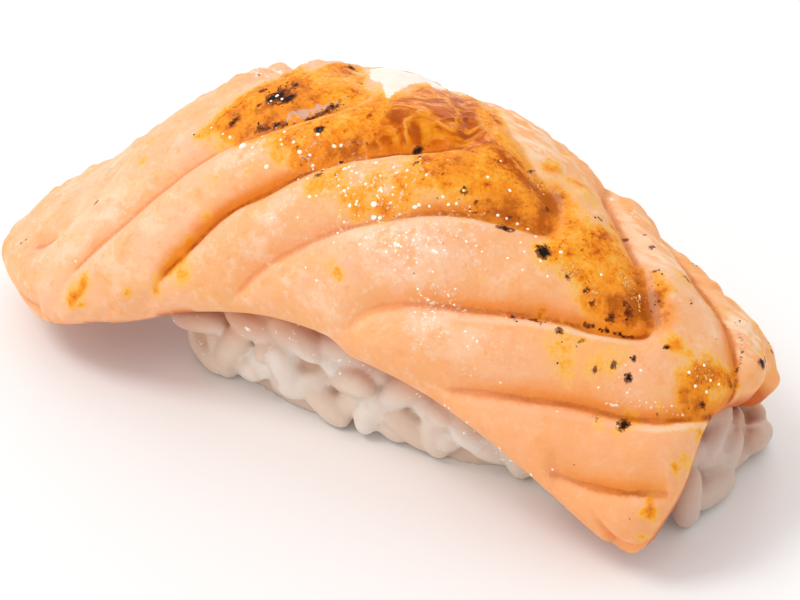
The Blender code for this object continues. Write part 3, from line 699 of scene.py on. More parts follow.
# Where the underside is painted darker as painted shade and the flesh grows warmer or toasted: each is
# the place where that starts and its run, along X or across.
UNDER_ALONG = (-0.042, 0.006)
UNDER_LEAST = 0.15
WARM_ALONG = (-0.008, 0.022)
WARM_ACROSS = (0.002, -0.012)
WARM_LOW = (-0.012, -0.008)
WARM_ALONG_SHARE = 0.75
WARM_LOW_SHARE = 0.35
TOASTED_BACK_ACROSS = (0.0020, 0.0040)
TOASTED_BACK_ALONG = (-0.012, 0.010)
TOASTED_END_ALONG = (0.0215, 0.003)
TOASTED_END_ACROSS = (-0.008, 0.004)
TOASTED_PATCH = 0.002
TOASTED_UNEVEN = 0.2


def seam_colours(x, across):
    """For each point, the gap to the nearest seam in millimetres, the side it lies on,
    how amber the fat there is and how pale the seam's lip is."""
    nearest = np.full(len(x), np.inf)
    side = np.zeros(len(x))
    amber = np.zeros(len(x))
    lip = np.zeros(len(x))
    for (_, _, points), amber_run, lip_run in zip(SEAMS, SEAM_AMBER, SEAM_LIPS):
        d, _, share = seam_distance(points, x, across)
        ends = np.clip(np.minimum(share, 1 - share) / SEAM_COLOUR_FADE, 0, 1)
        gap = np.abs(d) + (1 - ends) * SEAM_END_GAP
        closer = gap < nearest
        nearest = np.where(closer, gap, nearest)
        side = np.where(closer, (d > 0).astype(float), side)
        amber = np.where(closer, through(amber_run, share) * ends, amber)
        lip = np.where(closer, through(lip_run, share) * ends, lip)
    return nearest * MILLIMETRES, side, amber, lip


seam_gap, seam_side, seam_amber, seam_lip = seam_colours(flesh_x, flesh_across)
wander = [
    WANDER * lumps(flesh_x, flesh_across, WANDER_SIZE, seed)
    + FINE_WANDER * lumps(flesh_x, flesh_across, FINE_WANDER_SIZE, seed + 1)
    for seed in WANDER_SEEDS
]
wander_x, wander_across = flesh_x + wander[0], flesh_across + wander[1]
store(salmon.data, "seam_gap", seam_gap / SEAM_GAP_REACH)
store(salmon.data, "seam_side", seam_side)
store(salmon.data, "seam_amber", seam_amber * upper)
store(salmon.data, "seam_lip", seam_lip * upper)
crown = outline_distance(wander_x, wander_across, under_pixels(SEAR_OUTLINE))
crown = CROWN_SEAR * np.clip(CROWN_REACH + crown / CROWN_EDGE, 0, 1)
gold = np.maximum(crown, GOLD_SHARE * spots(wander_x, wander_across, GOLD_MARKS))
store(salmon.data, "gold", gold * upper)
store(salmon.data, "brown", BROWN_SHARE * spots(wander_x, wander_across, BROWN_MARKS) * upper)
near_marks = (flesh_x + wander[0] * CLOSE_WANDER, flesh_across + wander[1] * CLOSE_WANDER)
store(salmon.data, "char", CHAR_SHARE * spots(*near_marks, CHAR_MARKS + CHARRED_LIPS) * upper)
store(salmon.data, "ash", spots(*near_marks, ASH_MARKS) * upper)
# Painted highlight: the crown's shine is painted near white, together with real white fat and painted glints
# on three lips.
highlight_and_fat_patch = outline_distance(*near_marks, under_pixels(CROWN_HIGHLIGHT_OUTLINE))
pale_fat_and_highlight = np.clip(CROWN_HIGHLIGHT_REACH + highlight_and_fat_patch / CROWN_HIGHLIGHT_EDGE, 0, 1)
pale_fat_and_highlight = np.maximum(pale_fat_and_highlight, CREAM_SHARE * spots(wander_x, wander_across, CREAM_MARKS))
pale_fat_and_highlight = np.maximum(pale_fat_and_highlight, spots(*near_marks, FAT_LINES_AND_GLINTS))
store(salmon.data, "pale_fat_and_highlight", pale_fat_and_highlight * upper)
store(salmon.data, "wet", spots(flesh_x, flesh_across, GLOSS_AND_PAINTED_SHEEN_MARKS) * upper)
store(salmon.data, "fibre", spots(flesh_x, flesh_across, FIBRE_MARKS) * upper)
# Painted shade: the underside, darker towards the near end, and the edge under the far rim.
under = (1 - upper) * np.maximum(rising(flesh_x, *UNDER_ALONG), UNDER_LEAST)
store(salmon.data, "under", np.maximum(under, spots(flesh_x, flesh_across, PAINTED_SHADE_RIM)))
warmth = WARM_ALONG_SHARE * rising(flesh_x, *WARM_ALONG) * rising(flesh_across, *WARM_ACROSS)
store(salmon.data, "warmth", warmth + WARM_LOW_SHARE * rising(flesh_across, *WARM_LOW))
on_back = rising(flesh_across, *TOASTED_BACK_ACROSS) * rising(flesh_x, *TOASTED_BACK_ALONG)
at_end = rising(flesh_x, *TOASTED_END_ALONG) * rising(flesh_across, *TOASTED_END_ACROSS)
patchy = 1 - TOASTED_UNEVEN + TOASTED_UNEVEN * lumps(flesh_x, flesh_across, TOASTED_PATCH, seed=17)
store(salmon.data, "toasted", np.maximum(on_back, at_end) * patchy)


def fill(tree, sockets, values):
    """Links or sets sockets in turn."""
    for socket, value in zip(sockets, values):
        if isinstance(value, bpy.types.NodeSocket):
            tree.links.new(value, socket)
        else:
            socket.default_value = value


def node(tree, kind, inputs=(), **settings):
    """Adds a shader node, sets its properties, and links or sets its named inputs."""
    made = tree.nodes.new(kind)
    for name, value in settings.items():
        setattr(made, name, value)
    for name, value in dict(inputs).items():
        fill(tree, [made.inputs[name]], [value])
    return made


def mixed(tree, share, first, second):
    """A colour between two, by a share from 0 to 1."""
    mix = node(tree, "ShaderNodeMix", data_type="RGBA")
    fill(tree, [mix.inputs[i] for i in (0, 6, 7)], (share, first, second))
    return mix.outputs[2]


def maths(tree, operation, first, second=0.0):
    """One step of arithmetic on two values."""
    step = node(tree, "ShaderNodeMath", operation=operation)
    fill(tree, step.inputs, (first, second))
    return step.outputs[0]


def times(tree, *values):
    """The values multiplied together."""
    total = values[0]
    for value in values[1:]:
        total = maths(tree, "MULTIPLY", total, value)
    return total


def ranged(tree, value, low, high, new_low=0.0, new_high=1.0):
    """A value brought smoothly from one range to another and held inside it."""
    step = node(
        tree, "ShaderNodeMapRange",
        {"Value": value, "From Min": low, "From Max": high, "To Min": new_low, "To Max": new_high},
        interpolation_type="SMOOTHSTEP",
    )
    return step.outputs["Result"]


def noise(tree, place, scale, detail=3.0, roughness=0.5, distortion=0.0):
    """Soft random patches from 0 to 1."""
    made = node(
        tree, "ShaderNodeTexNoise",
        {
            "Vector": place, "Scale": scale, "Detail": detail,
            "Roughness": roughness, "Distortion": distortion,
        },
    )
    return made.outputs["Fac"]


def attribute(tree, name):
    """The number that the mesh keeps under this name."""
    return node(tree, "ShaderNodeAttribute", attribute_name=name).outputs["Fac"]


def stretched(tree, place, turn, scale):
    """Coordinates turned about Z by an angle in degrees, then scaled along each axis."""
    mapping = node(tree, "ShaderNodeMapping", {"Vector": place})
    mapping.inputs["Rotation"].default_value = (0.0, 0.0, math.radians(turn))
    mapping.inputs["Scale"].default_value = scale
    return mapping.outputs["Vector"]


def started_material(name):
    """A new material with its Principled shader and its Object coordinates."""
    made = bpy.data.materials.new(name)
    made.use_nodes = True
    tree = made.node_tree
    shader = tree.nodes["Principled BSDF"]
    place = node(tree, "ShaderNodeTexCoord").outputs["Object"]
    return made, tree, shader, place


def bumped(tree, shader, height, strength, distance):
    """Raises a shader's surface by a height, under its coat too."""
    bump = node(tree, "ShaderNodeBump", {"Height": height, "Strength": strength, "Distance": distance})
    tree.links.new(bump.outputs["Normal"], shader.inputs["Normal"])
    tree.links.new(bump.outputs["Normal"], shader.inputs["Coat Normal"])


def set_sockets(shader, values):
    """Sets a shader's own sockets."""
    for name, value in values.items():
        shader.inputs[name].default_value = value


def rgb(red, green, blue):
    """A colour as seen on a screen, from 0 to 255, made ready for a shader."""
    def linear(value):
        share = value / 255
        return share / 12.92 if share <= 0.04045 else ((share + 0.055) / 1.055) ** 2.4
    return (linear(red), linear(green), linear(blue), 1.0)


FINER_BY = 4.5
PATCHY_HEIGHT = 0.6


def moist_group():
    """A wet food surface: roughness that varies in patches, and a fine uneven height."""
    group = bpy.data.node_groups.new("moist_surface", "ShaderNodeTree")
    for name, kind, value in (
        ("Place", "NodeSocketVector", None), ("Scale", "NodeSocketFloat", 400.0),
        ("Driest", "NodeSocketFloat", 0.5), ("Wettest", "NodeSocketFloat", 0.2),
    ):
        socket = group.interface.new_socket(name=name, in_out="INPUT", socket_type=kind)
        if value is not None:
            socket.default_value = value
    for name in ("Roughness", "Height"):
        group.interface.new_socket(name=name, in_out="OUTPUT", socket_type="NodeSocketFloat")
    enter = group.nodes.new("NodeGroupInput")
    leave = group.nodes.new("NodeGroupOutput")
    patchy = noise(group, enter.outputs["Place"], enter.outputs["Scale"], 4.0, 0.6)
    finer_scale = times(group, enter.outputs["Scale"], FINER_BY)
    finer = noise(group, enter.outputs["Place"], finer_scale, 3.0, 0.6)
    dryness = ranged(group, patchy, 0.35, 0.65)
    span = maths(group, "SUBTRACT", enter.outputs["Driest"], enter.outputs["Wettest"])
    rough = maths(group, "ADD", enter.outputs["Wettest"], times(group, dryness, span))
    height = maths(group, "ADD", times(group, patchy, PATCHY_HEIGHT), times(group, finer, 1 - PATCHY_HEIGHT))
    group.links.new(rough, leave.inputs["Roughness"])
    group.links.new(height, leave.inputs["Height"])
    return group


moist_surface = moist_group()


def moist(tree, shader, place, scale, driest, wettest, strength, distance):
    """Gives a shader the wet surface's roughness and bump."""
    wet = node(
        tree, "ShaderNodeGroup",
        {"Place": place, "Scale": scale, "Driest": driest, "Wettest": wettest},
        node_tree=moist_surface,
    )
    tree.links.new(wet.outputs["Roughness"], shader.inputs["Roughness"])
    bumped(tree, shader, wet.outputs["Height"], strength, distance)


FLESH_PALE = rgb(254, 195, 153)
FLESH_WARM = rgb(252, 184, 128)
FLESH_LIGHT = rgb(255, 213, 178)
FLESH_PINK = rgb(250, 190, 160)
FLESH_PAINTED_SHEEN = rgb(255, 230, 206)
FLESH_YELLOW = rgb(252, 194, 126)
FLESH_DEEP = rgb(251, 164, 98)
FLESH_TOASTED = rgb(255, 164, 74)
FLESH_PAINTED_SHADE_BELOW = rgb(214, 106, 44)
FAT_AND_HIGHLIGHT_WHITE = rgb(253, 242, 228)
FIBRE_PALE = rgb(253, 226, 194)
SEAM_AMBER_AND_PAINTED_SHADE = rgb(248, 154, 74)
SEAM_DEEP = rgb(232, 128, 8)
SEAM_LINE = rgb(172, 76, 0)
SEAM_PAINTED_CREASE_SHADE = rgb(236, 148, 92)
LIP_PALE = rgb(254, 214, 178)
SEAR_TINT = rgb(252, 186, 108)
SEAR_TINT_DEEP = rgb(248, 150, 40)
SEAR_RAMP = (
    (0.00, rgb(253, 190, 104)), (0.16, rgb(254, 174, 62)), (0.36, rgb(254, 160, 32)),
    (0.54, rgb(244, 140, 22)), (0.70, rgb(222, 114, 10)), (0.85, rgb(190, 84, 4)),
    (1.00, rgb(120, 50, 6)),
)
SOY_BROWN = rgb(176, 80, 2)
CHAR_BROWN = rgb(106, 36, 0)
CHAR_BLACK = rgb(26, 7, 0)
ASH_GREY = rgb(216, 184, 166)
# The patterns in the flesh: the scale, detail and roughness of each noise.
FLESH_PATTERNS = {
    "broad": (110.0, 2.0, 0.5), "mottle": (330.0, 4.0, 0.65), "grain": (950.0, 3.0, 0.6),
    "fine": (2800.0, 2.0, 0.6), "hue": (190.0, 4.0, 0.7),
}
# The strands in it: the turn in degrees, the scale along each axis, detail and roughness.
FLESH_STRANDS = {
    "strands": (35.0, (260.0, 1500.0, 1500.0), 3.0, 0.55),
    "back_strands": (-25.0, (240.0, 1100.0, 1100.0), 2.0, 0.5),
}
# The colours laid over one another: the pattern that each follows, where in it the colour
# starts and where it is full, the colour, and the most of it that shows.
FLESH_LAYERS = (
    ("strands", 0.50, 0.75, FLESH_LIGHT, 0.25), ("hue", 0.53, 0.68, FLESH_PINK, 0.6),
    ("hue", 0.46, 0.32, FLESH_YELLOW, 0.4), ("mottle", 0.52, 0.70, FLESH_LIGHT, 0.8),
    ("mottle", 0.46, 0.30, FLESH_WARM, 0.7), ("grain", 0.56, 0.70, FLESH_LIGHT, 0.6),
    ("grain", 0.44, 0.32, FLESH_DEEP, 0.45),
)


def ramp(tree, value, stops):
    """The colour of a value between stops that are each a place and a colour."""
    made = node(tree, "ShaderNodeValToRGB", {"Fac": value})
    points = made.color_ramp.elements
    points[0].position, points[0].color = stops[0]
    points[1].position, points[1].color = stops[-1]
    for place, colour in stops[1:-1]:
        points.new(place).color = colour
    return made.outputs["Color"]


def salmon_material():
    """Seared salmon: pale flesh, amber seams, toasted and burnt patches, and set fat."""
    made, tree, shader, place = started_material("seared_salmon")
    pattern = {name: noise(tree, place, *values) for name, values in FLESH_PATTERNS.items()}
    for name, (turn, scale, detail, roughness) in FLESH_STRANDS.items():
        pattern[name] = noise(tree, stretched(tree, place, turn, scale), 1.0, detail, roughness)
    mottle, grain, fine = pattern["mottle"], pattern["grain"], pattern["fine"]

    def centred(value, share):
        return times(tree, maths(tree, "SUBTRACT", value, 0.5), share)

    def added(*values):
        total = values[0]
        for value in values[1:]:
            total = maths(tree, "ADD", total, value)
        return total

    def layer(below, share, colour, most=1.0):
        return mixed(tree, times(tree, share, most), below, colour)

    def mark(name, low, high):
        return ranged(tree, attribute(tree, name), low, high)

    uneven = added(centred(mottle, 0.9), centred(grain, 0.7), centred(fine, 0.6))
    small_uneven = added(centred(grain, 0.7), centred(fine, 1.0))

    colour = mixed(tree, ranged(tree, pattern["broad"], 0.36, 0.64), FLESH_PALE, FLESH_WARM)
    for name, low, high, paint, most in FLESH_LAYERS:
        colour = layer(colour, ranged(tree, pattern[name], low, high), paint, most)
    wet = attribute(tree, "wet")
    # Painted highlight: the wet patches are painted paler, as their sheen.
    colour = layer(colour, times(tree, wet, ranged(tree, mottle, 0.43, 0.56)), FLESH_PAINTED_SHEEN, 0.85)
    colour = layer(colour, attribute(tree, "warmth"), FLESH_DEEP, 0.68)
    colour = layer(colour, attribute(tree, "toasted"), FLESH_TOASTED, 0.85)
    stripes = ranged(tree, pattern["back_strands"], 0.44, 0.58)
    colour = layer(colour, times(tree, attribute(tree, "fibre"), stripes), FIBRE_PALE, 0.9)

    gap = times(tree, attribute(tree, "seam_gap"), SEAM_GAP_REACH)
    gap = added(gap, times(tree, small_uneven, 0.18), centred(mottle, 0.45))
    outer = attribute(tree, "seam_side")
    inner = maths(tree, "SUBTRACT", 1.0, outer)
    amber = attribute(tree, "seam_amber")
    soft = times(tree, inner, ranged(tree, gap, 1.9, 0.1))
    width = maths(tree, "ADD", 0.60, times(tree, amber, 0.60))
    above = times(tree, inner, ranged(tree, maths(tree, "DIVIDE", gap, width), 1.0, 0.2))
    below = times(tree, outer, ranged(tree, gap, 0.48, 0.12))
    # Partly painted shade: a soft band on the sunken side of each seam, part the fat's amber and part
    # painted shade in the groove, and a thin painted shade along the crease.
    colour = layer(colour, times(tree, soft, ranged(tree, amber, 0.0, 0.6)), SEAM_AMBER_AND_PAINTED_SHADE, 0.85)
    crease = times(tree, ranged(tree, gap, 0.38, 0.08), ranged(tree, amber, 0.0, 0.2))
    colour = layer(colour, crease, SEAM_PAINTED_CREASE_SHADE, 0.7)

    gold = attribute(tree, "gold")
    brown = attribute(tree, "brown")
    colour = layer(colour, ranged(tree, gold, 0.05, 0.5), SEAR_TINT, 0.65)
    value = added(gold, times(tree, brown, 0.34), times(tree, uneven, ranged(tree, gold, 0.03, 0.25)))
    toasted = ramp(tree, ranged(tree, value, 0.30, 1.16), SEAR_RAMP)
    seared = times(tree, ranged(tree, value, 0.26, 0.42), ranged(tree, gold, 0.04, 0.2))
    colour = mixed(tree, seared, colour, toasted)

    deep = times(tree, added(above, below), ranged(tree, amber, 0.25, 0.95))
    colour = layer(colour, deep, SEAM_DEEP, 0.9)
    line = times(tree, ranged(tree, gap, 0.28, 0.08), ranged(tree, amber, 0.1, 1.0, 0.0, 0.95))
    colour = layer(colour, times(tree, line, ranged(tree, mottle, 0.40, 0.56, 0.45, 1.0)), SEAM_LINE)
    colour = layer(colour, ranged(tree, brown, 0.05, 0.45), SEAR_TINT_DEEP, 0.75)
    pool = ranged(tree, added(brown, times(tree, uneven, 0.9)), 0.30, 0.78)
    colour = layer(colour, times(tree, pool, ranged(tree, brown, 0.1, 0.4)), SOY_BROWN, 0.8)
    lip = times(tree, ranged(tree, gap, 0.25, 0.45), ranged(tree, gap, 1.0, 0.65), outer)
    colour = layer(colour, times(tree, lip, attribute(tree, "seam_lip")), LIP_PALE, 0.8)
    # White fat, with the painted highlights of the crown's shine and of the lips.
    highlight_and_fat_patch = ranged(tree, added(attribute(tree, "pale_fat_and_highlight"), small_uneven), 0.42, 0.58)
    colour = layer(colour, highlight_and_fat_patch, FAT_AND_HIGHLIGHT_WHITE, 0.95)
    ash = ranged(tree, added(attribute(tree, "ash"), times(tree, small_uneven, 2.2)), 0.50, 0.72)
    colour = layer(colour, times(tree, ash, mark("ash", 0.05, 0.2)), ASH_GREY, 0.8)
    burnt = added(attribute(tree, "char"), times(tree, small_uneven, 0.8))
    there = mark("char", 0.06, 0.20)
    colour = layer(colour, times(tree, there, ranged(tree, burnt, 0.28, 0.52)), CHAR_BROWN, 0.85)
    colour = layer(colour, times(tree, there, ranged(tree, burnt, 0.60, 0.68)), CHAR_BLACK)
    specks = ranged(tree, noise(tree, place, 2200.0, 2.0, 0.6), 0.67, 0.71)
    colour = layer(colour, times(tree, specks, ranged(tree, value, 0.45, 0.8)), CHAR_BROWN, 0.8)
    # Painted highlights: tiny white glints painted in the wet patches.
    painted_flesh_glints = ranged(tree, noise(tree, place, 2600.0, 2.0, 0.6), 0.60, 0.65)
    colour = layer(colour, times(tree, wet, painted_flesh_glints), FAT_AND_HIGHLIGHT_WHITE)
    # Painted shade on the underside and along the edge under the far rim.
    colour = layer(colour, attribute(tree, "under"), FLESH_PAINTED_SHADE_BELOW)
    tree.links.new(colour, shader.inputs["Base Color"])
    moist(tree, shader, place, 700.0, 0.60, 0.38, 0.6, 0.00035)
    tree.links.new(times(tree, wet, ranged(tree, grain, 0.46, 0.60), 0.8), shader.inputs["Coat Weight"])
    set_sockets(shader, {
        "IOR": 1.40, "Specular IOR Level": 0.18, "Coat Roughness": 0.12,
        "Subsurface Weight": 0.25, "Subsurface Radius": (1.0, 0.5, 0.25), "Subsurface Scale": 0.0010,
    })
    return made


salmon.data.materials.append(salmon_material())
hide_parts("salmon_slice")
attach(salmon, "root")

# The rice is short-grain rice, boiled, seasoned and squeezed by hand into a block, so
# its grains stick together and stand out all round its sides. The grains and the block
# are one skin, because their starch has melted into one another.
RICE_GAP = 0.0003
RICE_CENTRE_X = -0.0012
RICE_HALF_LENGTH = 0.0245
RICE_SQUARENESS = 7.0
RICE_FRONT_FOOT = (
    (-0.028, 0.0092), (-0.025, 0.0108), (-0.020, 0.0094), (-0.013, 0.0104), (-0.008, 0.0094),
    (-0.002, 0.0095), (0.003, 0.0095), (0.007, 0.0078), (0.016, 0.0074), (0.025, 0.0046),
)
RICE_BACK_FOOT = 0.0096
RICE_FOOT_INSET = 0.0002
RICE_FOOT_TURN = 0.035
RICE_SWELLING = 0.0009
RICE_COVERED_SHARE = 0.90
RICE_SHOULDER_DROP = 0.0018
RICE_SHOULDER_SHARPNESS = 10
CORE_CUTS = 35
CORE_RECESS = 0.0002
GRAIN_LENGTH = 0.0064
GRAIN_WIDTH = 0.0030
GRAIN_DEPTH = 0.0026
GRAIN_SIDES = 16
GRAIN_RINGS = 12
GRAIN_COUNT = 215
GRAIN_DRAWS = 12
GRAIN_STANDS_OUT = (-0.0004, 0.0006)
GRAIN_SIZES = (0.88, 1.08)
GRAIN_LEAN = 0.8
GRAIN_TIP = 0.22
GRAIN_BEND = 0.12
GRAIN_FULLER_END = 0.10
GRAIN_FLOOR = 0.0001
GRAIN_GROWTH = (1.08, 1.18, 1.16)
# How far a grain is pushed into the block and how much of its length is kept, tried in
# turn until it clears the slice.
GRAIN_RETREATS = ((0.0, 1.0), (0.0004, 1.0), (0.0008, 0.85), (0.0011, 0.7))
GRAIN_SEED = 8
WALL_STEEPNESS = 0.75
RICE_BOTTOM = 0.00002
GRAIN_LEAST_GIRTH = 0.0025
MELTED_STEP = 0.00026
MELTED_SMOOTHING = 1
MELTED_FACTOR = 0.5


def underside(x, across):
    """Points on the roof of the rice, a small gap below the slice."""
    return middle(x, across) - outward(x, across) * (through(SLICE_THICKNESS, x) / 2 + RICE_GAP)[:, None]


def rice_points(box):
    """Moves the surface points of a box, from -1 to 1 each way, onto the rice block."""
    a, b, c = box.T
    to_wall = np.maximum(np.abs(a), np.abs(b))
    a, b = squared_circle(a, b, RICE_SQUARENESS)
    level = (c + 1) / 2
    x = RICE_CENTRE_X + a * (RICE_HALF_LENGTH - RICE_FOOT_INSET * (1 - level) ** 3)
    width = np.where(b < 0, through(FRONT_WIDTH, x), through(BACK_WIDTH, x))
    roof = underside(x, b * width * RICE_COVERED_SHARE)
    roof[:, 2] -= RICE_SHOULDER_DROP * np.abs(a) ** RICE_SHOULDER_SHARPNESS
    foot_width = np.where(b < 0, through(RICE_FRONT_FOOT, x), RICE_BACK_FOOT)
    foot = np.stack([x, b * foot_width + x * RICE_FOOT_TURN, np.zeros(len(x))], -1)
    swelling = RICE_SWELLING * np.sin(math.pi * level) * to_wall**4
    points = roof * level[:, None] + foot * (1 - level)[:, None]
    points[:, 1] += b * swelling
    points[:, 0] += a * swelling
    return points


def rice_core():
    """The block itself, without the grains that stand out of it."""
    bm = bmesh.new()
    bmesh.ops.create_cube(bm, size=2.0)
    bmesh.ops.subdivide_edges(bm, edges=bm.edges, cuts=CORE_CUTS, use_grid_fill=True)
    made = object_from(bm, "rice_core")
    place_vertices(made.data, rice_points)
    return made


def wall_triangles(body):
    """The triangles of a body that face sideways, with their areas."""
    body.data.calc_loop_triangles()
    found = []
    for triangle in body.data.loop_triangles:
        if abs(triangle.normal.z) < WALL_STEEPNESS:
            corners = [body.data.vertices[i].co.copy() for i in triangle.vertices]
            found.append((corners, triangle.normal.copy(), triangle.area))
    return found


def spread_places(triangles, count, chance):
    """Seeded places on the walls, each the one farthest from the rest out of a few drawn."""
    areas = [area for corners, normal, area in triangles]
    chosen = []
    for _ in range(count):
        best, best_room = None, -1.0
        for corners, normal, area in chance.choices(triangles, areas, k=GRAIN_DRAWS):
            s, t = sorted((chance.random(), chance.random()))
            place = corners[0] * s + corners[1] * (t - s) + corners[2] * (1 - t)
            room = min(((place - other).length for other, _ in chosen), default=1.0)
            if room > best_room:
                best, best_room = (place, normal), room
        chosen.append(best)
    return chosen


def grain_matrix(place, normal, lean, tip):
    """Lays a grain flat against a wall, turned by lean within it and tipped out of it."""
    level = Vector((0, 0, 1)).cross(normal).normalized()
    facing = Matrix((level, normal, level.cross(normal))).transposed().to_4x4()
    turned = Matrix.Rotation(lean, 4, "Y") @ Matrix.Rotation(tip, 4, "Z")
    return Matrix.Translation(place) @ facing @ turned


def grain_body(chance):
    """One cooked grain lying along X: a plump rod with a slight bend and a fuller end."""
    bm = bmesh.new()
    bmesh.ops.create_uvsphere(bm, u_segments=GRAIN_SIDES, v_segments=GRAIN_RINGS, radius=0.5)
    bmesh.ops.rotate(bm, verts=bm.verts, matrix=Matrix.Rotation(math.pi / 2, 3, "Y"))
    bend = chance.uniform(-GRAIN_BEND, GRAIN_BEND)
    fuller = chance.uniform(-GRAIN_FULLER_END, GRAIN_FULLER_END)
    for vertex in bm.verts:
        along = vertex.co.x * 2
        round_girth = max(1 - along**2, GRAIN_LEAST_GIRTH) ** 0.5
        plump_girth = max(1 - abs(along) ** 3, 0.0) ** 0.5
        girth = plump_girth / round_girth * (1 + fuller * along)
        vertex.co.y *= girth
        vertex.co.z = vertex.co.z * girth + bend * (1 - along**2)
    bmesh.ops.scale(bm, verts=bm.verts, vec=(GRAIN_LENGTH, GRAIN_DEPTH, GRAIN_WIDTH))
    return bm


def crosses(bm, matrix, tree):
    """Whether a grain, grown a little for the gap, would cut into the slice."""
    grown = bm.copy()
    bmesh.ops.scale(grown, verts=grown.verts, vec=GRAIN_GROWTH)
    bmesh.ops.transform(grown, matrix=matrix, verts=grown.verts)
    hit = bool(BVHTree.FromBMesh(grown).overlap(tree))
    grown.free()
    return hit


def settle_grain(place, normal, chance, tree):
    """A grain that clears the slice, pushed in or shortened where needed, or None."""
    lean = chance.gauss(0.0, GRAIN_LEAN)
    tip = chance.gauss(0.0, GRAIN_TIP)
    size = chance.uniform(*GRAIN_SIZES)
    stands_out = chance.uniform(*GRAIN_STANDS_OUT)
    for push, shorter in GRAIN_RETREATS:
        bm = grain_body(chance)
        bmesh.ops.scale(bm, verts=bm.verts, vec=(size * shorter, size, size))
        matrix = grain_matrix(place + normal * (stands_out - push), normal, lean, tip)
        lowest = min((matrix @ vertex.co).z for vertex in bm.verts)
        lift = Matrix.Translation((0, 0, max(0.0, GRAIN_FLOOR - lowest)))
        if not crosses(bm, lift @ matrix, tree):
            bmesh.ops.transform(bm, matrix=lift @ matrix, verts=bm.verts)
            return bm
        bm.free()
    return None


def melted_together(body):
    """Rebuilds overlapping bodies as one skin, softened where they meet."""
    remesh = body.modifiers.new("melted", "REMESH")
    remesh.mode = "VOXEL"
    remesh.voxel_size = MELTED_STEP
    soften = body.modifiers.new("softened", "SMOOTH")
    soften.iterations = MELTED_SMOOTHING
    soften.factor = MELTED_FACTOR
    graph = bpy.context.evaluated_depsgraph_get()
    finished = bpy.data.meshes.new_from_object(body.evaluated_get(graph))
    finished.shade_smooth()
    for vertex in finished.vertices:
        vertex.co.z = max(vertex.co.z, 0.0)
    body.modifiers.clear()
    body.data = finished


RICE_WHITE = rgb(236, 227, 217)
RICE_CREAM = rgb(225, 201, 181)
RICE_PAINTED_BOUNCE_AND_SHADE = rgb(214, 142, 88)
RICE_PAINTED_HOLLOW_SHADE = rgb(204, 146, 106)
RICE_PAINTED_END_SHADE = rgb(190, 156, 138)
RICE_PAINTED_GLINT = rgb(255, 253, 250)
# The block is creamier than most grains. The rice is painted warmer near the slice, as painted
# light from the salmon and painted shade under it, darker in the hollows between the grains as painted
# shade, less so at the foot, and dimmer towards the near end as painted shade.
CORE_TINT = 0.8
RICE_WARM_REACH = 0.0055
RICE_HOLLOW_START = 0.55
RICE_HOLLOW_DEPTH = 0.0012
RICE_FOOT_REACH = 0.0025
RICE_FOOT_LEAST = 0.2
RICE_DIM_START = 0.014
RICE_DIM_RUN = 0.006


def rice_material():
    """Cooked rice: moist, pale and slightly translucent, with painted salmon light and painted shade near
    the slice and in its hollows, and painted glints.
    """
    made, tree, shader, place = started_material("cooked_rice")
    cloud = noise(tree, place, 300.0, 3.0)
    colour = mixed(tree, attribute(tree, "tint"), RICE_WHITE, RICE_CREAM)
    colour = mixed(tree, ranged(tree, cloud, 0.46, 0.68, 0.0, 0.5), colour, RICE_CREAM)
    # Painted light and shade: the salmon's light and shade near the slice, shade in the hollows, and shade
    # towards the near end.
    warm = times(tree, ranged(tree, attribute(tree, "near_slice"), 0.0, 0.9), 0.8)
    colour = mixed(tree, warm, colour, RICE_PAINTED_BOUNCE_AND_SHADE)
    colour = mixed(tree, times(tree, attribute(tree, "hollow"), 0.8), colour, RICE_PAINTED_HOLLOW_SHADE)
    colour = mixed(tree, times(tree, attribute(tree, "dim"), 0.55), colour, RICE_PAINTED_END_SHADE)
    # Painted highlights: small white glints painted on the grains.
    patch = ranged(tree, noise(tree, place, 170.0, 1.0), 0.54, 0.62)
    painted_rice_glint = ranged(tree, noise(tree, place, 1700.0, 2.0, 0.6), 0.64, 0.68)
    colour = mixed(tree, times(tree, patch, painted_rice_glint), colour, RICE_PAINTED_GLINT)
    tree.links.new(colour, shader.inputs["Base Color"])
    moist(tree, shader, place, 900.0, 0.50, 0.28, 0.35, 0.00020)
    set_sockets(shader, {
        "IOR": 1.40, "Specular IOR Level": 0.30, "Coat Weight": 0.25, "Coat Roughness": 0.14,
        "Subsurface Weight": 0.35, "Subsurface Radius": (1.0, 0.75, 0.5), "Subsurface Scale": 0.0008,
    })
    return made


rice = rice_core()
grain_chance = random.Random(GRAIN_SEED)
slice_tree = BVHTree.FromObject(salmon, bpy.context.evaluated_depsgraph_get())
wall = wall_triangles(rice)
core_tree = BVHTree.FromObject(rice, bpy.context.evaluated_depsgraph_get())
heap = bmesh.new()
heap.from_mesh(rice.data)
heap.normal_update()
for vertex in heap.verts:
    if vertex.co.z > RICE_BOTTOM:
        vertex.co -= vertex.normal * CORE_RECESS
face_tints = [CORE_TINT] * len(rice.data.polygons)
for spot, facing in spread_places(wall, GRAIN_COUNT, grain_chance):
    grain = settle_grain(spot, facing, grain_chance, slice_tree)
    if grain is not None:
        tint = grain_chance.random()
        face_tints.extend([tint] * len(grain.faces))
        one = bpy.data.meshes.new("one_grain")
        grain.to_mesh(one)
        grain.free()
        heap.from_mesh(one)
        bpy.data.meshes.remove(one)
heap.to_mesh(rice.data)
heap.free()
rice.name = "rice_grains"
grain_surface = BVHTree.FromPolygons(
    [vertex.co.copy() for vertex in rice.data.vertices],
    [polygon.vertices[:] for polygon in rice.data.polygons],
)
melted_together(rice)

